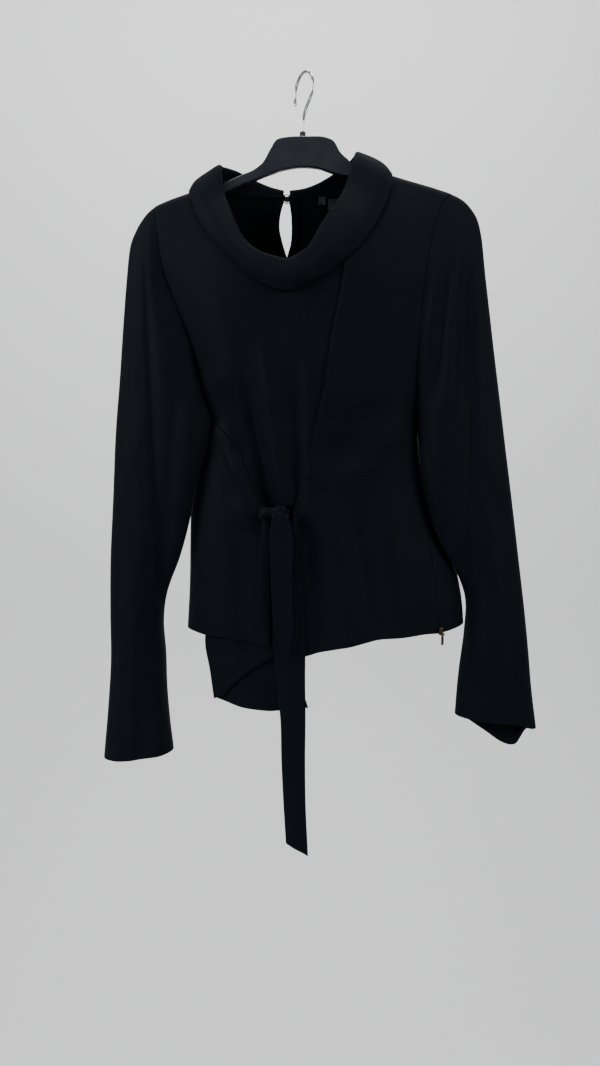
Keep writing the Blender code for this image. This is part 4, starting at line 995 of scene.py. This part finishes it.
def hook():
    """A round wire hook, turned so that its mouth faces back and to the left, and its ferrule."""
    radius = HOOK_INSIDE + WIRE / 2
    centre = WIRE / 2 - radius
    sweep = np.radians(np.linspace(-42, 212, 90))
    circle = np.stack([radius * np.cos(sweep), centre + radius * np.sin(sweep)], -1)
    stem = path((0, HEAD_TOP + 0.4), (0, -58), (1.2, -49), (5.5, -40.5), circle[0])(np.linspace(0, 1, 40))
    x, z = np.concatenate([stem, circle[1:]]).T
    turn = math.radians(HOOK_TURN)
    points = np.stack([STEM_X + x * math.cos(turn), -x * math.sin(turn), z], -1)
    points[:, 0] -= STEM_X * step_up(z, -50, 0)
    thin = np.ones(len(points))
    thin[-1] = WIRE_END
    skin("hook", pipe(points, WIRE / 2 * thin), "steel")
    # A tube with a groove round it.
    profile = [(2.15, -66.4), (2.15, -62.1), (2.5, -61.7), (2.9, -61.7), (FERRULE, -62.4), (FERRULE, -63.6),
               (FERRULE - 0.35, -63.9), (FERRULE - 0.35, -64.3), (FERRULE, -64.6), (FERRULE, -66.6),
               (2.4, -66.6)]
    turned("hook_ferrule", profile, (STEM_X, 0, 0), "black_plastic", axis="Z", hollow=True)


def turned(name, profile, centre, slot, axis="Y", hollow=False):
    """A solid turned about an axis, from (radius, height along the axis) pairs."""
    turn = whole_turn(48)
    rings = []
    for r, h in profile:
        c, s, h = r * np.cos(turn), r * np.sin(turn), 0 * turn + h
        rings.append(np.stack([c, h, s] if axis == "Y" else [c, s, h], -1) + np.array(centre))
    return skin(name, rings, slot, hollow=hollow, smooth_angle=50)


# ---- button, labels, zip

BUTTON_CENTRE = (-19.8, 28.2, -127)
BUTTON_RADIUS, LOOP_RADIUS = 3.5, 4.6
LOOP_OUT = 1.9      # how far the loop lies from the back's plain form


def neck_button():
    """The button and its thread loop."""
    r = BUTTON_RADIUS
    dome = [(0.4, -1.1), (1.4, -1.05), (2.4, -0.85), (3.1, -0.5), (r, 0), (r - 0.15, 0.5), (r - 0.7, 0.85),
            (1.2, 0.95), (0.4, 0.95)]
    turned("neck_button", dome, BUTTON_CENTRE, "button_black")
    x, _, z = BUTTON_CENTRE
    turn = np.radians(np.linspace(138, -138, 40))
    loop = [(x + LOOP_RADIUS * math.cos(a), z + LOOP_RADIUS * math.sin(a)) for a in turn]
    x, z = np.array([(x - 8, z + 1.6), *loop, (x - 8, z - 2.6)]).T
    line = np.stack([x, stand_out(x, z, "back") + LOOP_OUT, z], -1)
    skin("button_loop", pipe(line, 0.5, 10))


def patch(name, corners, layer, slot, steps, doubled=0):
    """A small piece of cloth on the back, from its top and its bottom corners.

    A doubled one is folded at the bottom: its second half goes up this far behind the first.
    """
    across, down = (np.linspace(0, 1, n + 1) for n in steps)
    a, b, c, d = (np.array(one, float) for one in corners)
    flat = np.array([[(a + (b - a) * s) * (1 - r) + (c + (d - c) * s) * r for s in across] for r in down])
    points, normals = on_body(flat, "back", layer)
    points[..., 1] -= 0.25 * np.sin(across * 9)[None] * down[:, None]
    if doubled:
        behind = points[::-1] - normals[::-1] * doubled
        bend = (points[-1:] + behind[:1]) / 2 + np.array([0, 0, -doubled / 2])
        points = np.concatenate([points, bend, behind])
    return cloth(name, points, thickness=0.4, slot=slot)


def labels():
    """The bare label at the neck and the bare tab beside it."""
    label = patch("neck_label", ((28, -127.3), (56, -124.8), (28.5, -138.5), (56.5, -136)), -1.8,
                  "label_black", (60, 30))
    tab = patch("size_tab", ((17, -124.4), (25.4, -124.1), (17.2, -132.7), (25.6, -132.4)), -2.2,
                "label_grey", (24, 24), doubled=0.7)
    return label, tab


COIL_TURNS = 90


def zip_tape():
    """The tape behind the side seam, with its coil."""
    seam = ZIP_SEAM(np.linspace(0.3, 0.97, 90))
    across = np.linspace(-7, 6, 16)
    flat = seam[:, None] + np.stack([across, 0 * across], -1)[None]
    points, _ = on_body(flat, "front", -LAYER)
    tape = cloth("zip_tape", points, thickness=0.6)
    # The coil is a wire wound flat behind the tape.
    count = COIL_TURNS * 9
    turn = np.linspace(0, 2 * math.pi * COIL_TURNS, count)
    centre, normals = on_body(ZIP_SEAM(np.linspace(0.3, 0.96, count)), "front", -LAYER - 1.6)
    side = unit(np.array([1.0, 0, 0]) - normals * normals[:, :1])
    line = centre + side * (1.5 * np.cos(turn))[:, None] + normals * (0.7 * np.sin(turn))[:, None]
    return tape, skin("zip_coil", pipe(line, 0.28, 6), nodes=[])


# ---- materials

# Each finish: its colour, roughness, metallic and specular; a texture, with the inputs that it
# grades from one value to another; and its bumps, as (texture, strength, height in metres). A
# texture is a noise's scale, detail and stretch, or one of threads. A bump's own texture may be
# None, for the first one again.
THREADS = {"Scale": 700, "Distortion": 0.6}
FINISHES = {
    # Crepe is pebbly: fine grains, drawn out a little along the warp.
    "black_crepe": ((0.0075, 0.0078, 0.009), 0.5, 0, 0.04, (28, 4), {
        "Base Color": ((0.0011, 0.0020, 0.0033), (0.0017, 0.0029, 0.0047)), "Roughness": (0.64, 0.72),
    }, [((1500, 2, (1, 1, 0.55)), 0.35, 0.00025), ((140, 3), 0.12, 0.001)]),
    "label_black": ((0.003, 0.003, 0.0035), 0.5, 0, 0.35, THREADS, {
        "Base Color": ((0.0024, 0.0024, 0.0028), (0.0036, 0.0036, 0.0042)),
    }, [(None, 0.4, 0.0002)]),
    "label_grey": ((0.009, 0.0095, 0.011), 0.7, 0, 0.35, THREADS, {
        "Base Color": ((0.0072, 0.0076, 0.0088), (0.0108, 0.0114, 0.0132)),
    }, [(None, 0.4, 0.0002)]),
    "black_plastic": ((0.0075, 0.0095, 0.0135), 0.33, 0, 0.35, (60, 4), {"Roughness": (0.3, 0.42)},
                      [((900, 2), 0.12, 0.0002)]),
    "steel": ((0.42, 0.42, 0.43), 0.2, 1, 0.5, (500, 2, (1, 1, 0.2)), {"Roughness": (0.12, 0.24)},
              [(None, 0.05, 0.0001)]),
    "button_black": ((0.012, 0.012, 0.014), 0.25, 0, 0.5, (700, 2), {"Roughness": (0.2125, 0.3)},
                     [(None, 0.06, 0.0001)]),
    "dark_brass": ((0.05, 0.037, 0.023), 0.35, 1, 0.5, (400, 4), {
        "Base Color": ((0.022, 0.017, 0.011), (0.075, 0.056, 0.034)), "Roughness": (0.5, 0.3),
    }, [(None, 0.1, 0.0001)]),
    "paper": ((0.72, 0.72, 0.725), 0.85, 0, 0.1, (60, 3), {}, [(None, 0.04, 0.001)]),
}
SHEEN = {"Sheen Weight": 0.01, "Sheen Roughness": 0.5, "Sheen Tint": (0.75, 0.82, 1.0, 1)}     # the crepe's


def set_inputs(node, inputs):
    """Sets a node's inputs by name, and gives the node back."""
    for name, value in inputs.items():
        node.inputs[name].default_value = value
    return node


def texture_of(tree, texture):
    """A texture in the object's own metres: of threads, or a noise."""
    def add(kind, inputs):
        return set_inputs(tree.nodes.new(kind), inputs)

    source = tree.nodes.new("ShaderNodeTexCoord").outputs["Object"]
    if texture is THREADS:
        node = add("ShaderNodeTexWave", THREADS)
        node.bands_direction = "Z"
    else:
        scale, detail, *stretch = texture
        node = add("ShaderNodeTexNoise", {"Scale": scale, "Detail": detail})
        if stretch:
            mapping = add("ShaderNodeMapping", {"Scale": stretch[0]})
            tree.links.new(source, mapping.inputs["Vector"])
            source = mapping.outputs["Vector"]
    tree.links.new(source, node.inputs["Vector"])
    return node.outputs["Fac"]


@functools.cache
def finish(name):
    """The material of this name, which all the pieces of its slot share."""
    colour, roughness, metallic, specular, texture, grades, bumps = FINISHES[name]
    made = bpy.data.materials.new(name)
    made.use_nodes = True
    made.diffuse_color = (*colour, 1)
    tree = made.node_tree
    shader = set_inputs(tree.nodes["Principled BSDF"], {
        "Base Color": (*colour, 1), "Roughness": roughness, "Metallic": metallic,
        "Specular IOR Level": specular,
    })
    if name == "black_crepe":
        set_inputs(shader, SHEEN)
    main = texture_of(tree, texture)
    for into, values in grades.items():
        node = tree.nodes.new("ShaderNodeValToRGB")
        for end, position, value in zip(node.color_ramp.elements, (0.3, 0.7), values):
            end.position = position
            end.color = (*value, 1) if isinstance(value, tuple) else (value, value, value, 1)
        tree.links.new(main, node.inputs["Fac"])
        tree.links.new(node.outputs["Color"], shader.inputs[into])
    under = None
    for own, strength, distance in bumps:
        node = set_inputs(tree.nodes.new("ShaderNodeBump"), {"Strength": strength, "Distance": distance})
        tree.links.new(texture_of(tree, own) if own else main, node.inputs["Height"])
        if under:
            tree.links.new(under.outputs["Normal"], node.inputs["Normal"])
        tree.links.new(node.outputs["Normal"], shader.inputs["Normal"])
        under = node
    return made


# ---- studio

def backdrop():
    """A pale floor that sweeps up into a wall behind."""
    floor, wall, radius, half, ahead = -2.1, 2.3, 1.0, 5.0, -5.0
    profile = [(ahead, floor), (0, floor), (wall - radius, floor)]
    for a in np.radians(np.linspace(0, 90, 25)[1:]):
        profile.append((wall - radius + radius * math.sin(a), floor + radius * (1 - math.cos(a))))
    profile.append((wall, 4.0))
    points = [(x, y, z) for y, z in profile for x in (-half, half)]
    faces = [(2 * i, 2 * i + 1, 2 * i + 3, 2 * i + 2) for i in range(len(profile) - 1)]
    mesh = bpy.data.meshes.new("backdrop")
    mesh.from_pydata(points, [], faces)
    mesh.materials.append(finish("paper"))
    mesh.shade_smooth()
    placed("backdrop", mesh)


def lamp(name, place, target, size, energy, colour=(1, 1, 1)):
    """A soft lamp of this size in metres and this energy in watts."""
    light = bpy.data.lights.new(name, "AREA")
    light.shape = "RECTANGLE"
    light.size, light.size_y = size
    light.energy = energy
    light.color = colour
    made = placed(name, light)
    made.location = place
    made.rotation_euler = (Vector(target) - Vector(place)).to_track_quat("-Z", "Y").to_euler()


def studio():
    """A dim, even world and five lamps."""
    world = bpy.data.worlds.new("studio")
    bpy.context.scene.world = world
    world.use_nodes = True
    background = world.node_tree.nodes["Background"]
    background.inputs["Color"].default_value = (0.93, 0.94, 0.97, 1)
    background.inputs["Strength"].default_value = 0.3
    lamp("key", (-1.9, -1.1, 0.7), (0, 0, -0.4), (1.2, 1.2), 80)
    lamp("fill", (1.7, -1.1, 0.2), (0, 0, -0.45), (0.7, 1.2), 33)
    lamp("top", (0.2, -0.3, 1.9), (0, 0, -0.4), (1.2, 0.8), 38)
    lamp("low", (-0.5, -1.5, -1.5), (0, 0, -0.75), (0.9, 0.5), 9, (0.78, 0.88, 1.0))
    lamp("wash", (0, 0.9, 1.8), (0, 2.2, -0.8), (3.0, 0.6), 60)


CAMERA_PITCH = 6.689      # degrees below the level


def camera():
    data = bpy.data.cameras.new("camera")
    data.lens = 28.705
    data.sensor_width = 36
    data.clip_start = 0.01
    made = placed("camera", data)
    made.location = (-0.004456, -1.0, -0.39755)
    made.rotation_euler = (math.radians(90 - CAMERA_PITCH), 0, 0)
    bpy.context.scene.camera = made


# ---- the whole

def metal_zip():
    """The slider and its pull keep their solids' shape, and are finished in darkened brass."""
    for name in ("zip_slider", "zip_pull"):
        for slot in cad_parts[name].material_slots:
            slot.material = finish("dark_brass")


def dress():
    """Every piece of the garment, each listed in a local table beside the sheet it was cut from."""
    sheets = [
        (front_drape(), (0.30, 0.38), 0.064, "gathered", ["hanger_body"]),
        (front_wrap(), (0.24, 0.34), 0.047, "hung", ["hanger_body"]),
        (peplum_right(), (0.22, 0.21), 0.037, "hung", ["front_wrap"]),
        (peplum_left(), (0.15, 0.26), 0.028, "hung", ["front_drape"]),
        (back_panel("left"), (0.22, 0.52), 0.082, "hung", ["hanger_body"]),
    ]
    back, strip = back_panel("right")
    sheets += [
        (back, (0.25, 0.52), 0.096, "hung", ["hanger_body"]),
        (strip, (0.05, 0.18), 0.0075, "hung", ["back_right"]),
        (sleeve("left"), (0.36, 0.66), 0.155, "hung", ["front_drape"]),
        (sleeve("right"), (0.36, 0.66), 0.155, "hung", ["front_wrap"]),
        (collar(), (0.55, 0.11), 0.05, "folded", ["front_drape"]),
        (waist_band(), (0.016, 0.12), 0.0015, "laid", ["front_drape"]),
        (tie_loop(), (0.023, 0.3), None, "folded", ["knot"]),
        (lower_drape(), (0.24, 0.23), 0.036, "folded", ["knot"]),
    ]
    long_tie, short_tie = ties()
    sheets += [
        (long_tie, (0.032, 0.4), 0.012, "hung", ["knot"]),
        (short_tie, (0.014, 0.145), None, "hung", ["knot"]),
    ]
    knot()
    label, tab = labels()
    tape, coil = zip_tape()


dress()
hanger_body()
hook()
neck_button()
metal_zip()
backdrop()
studio()
camera()
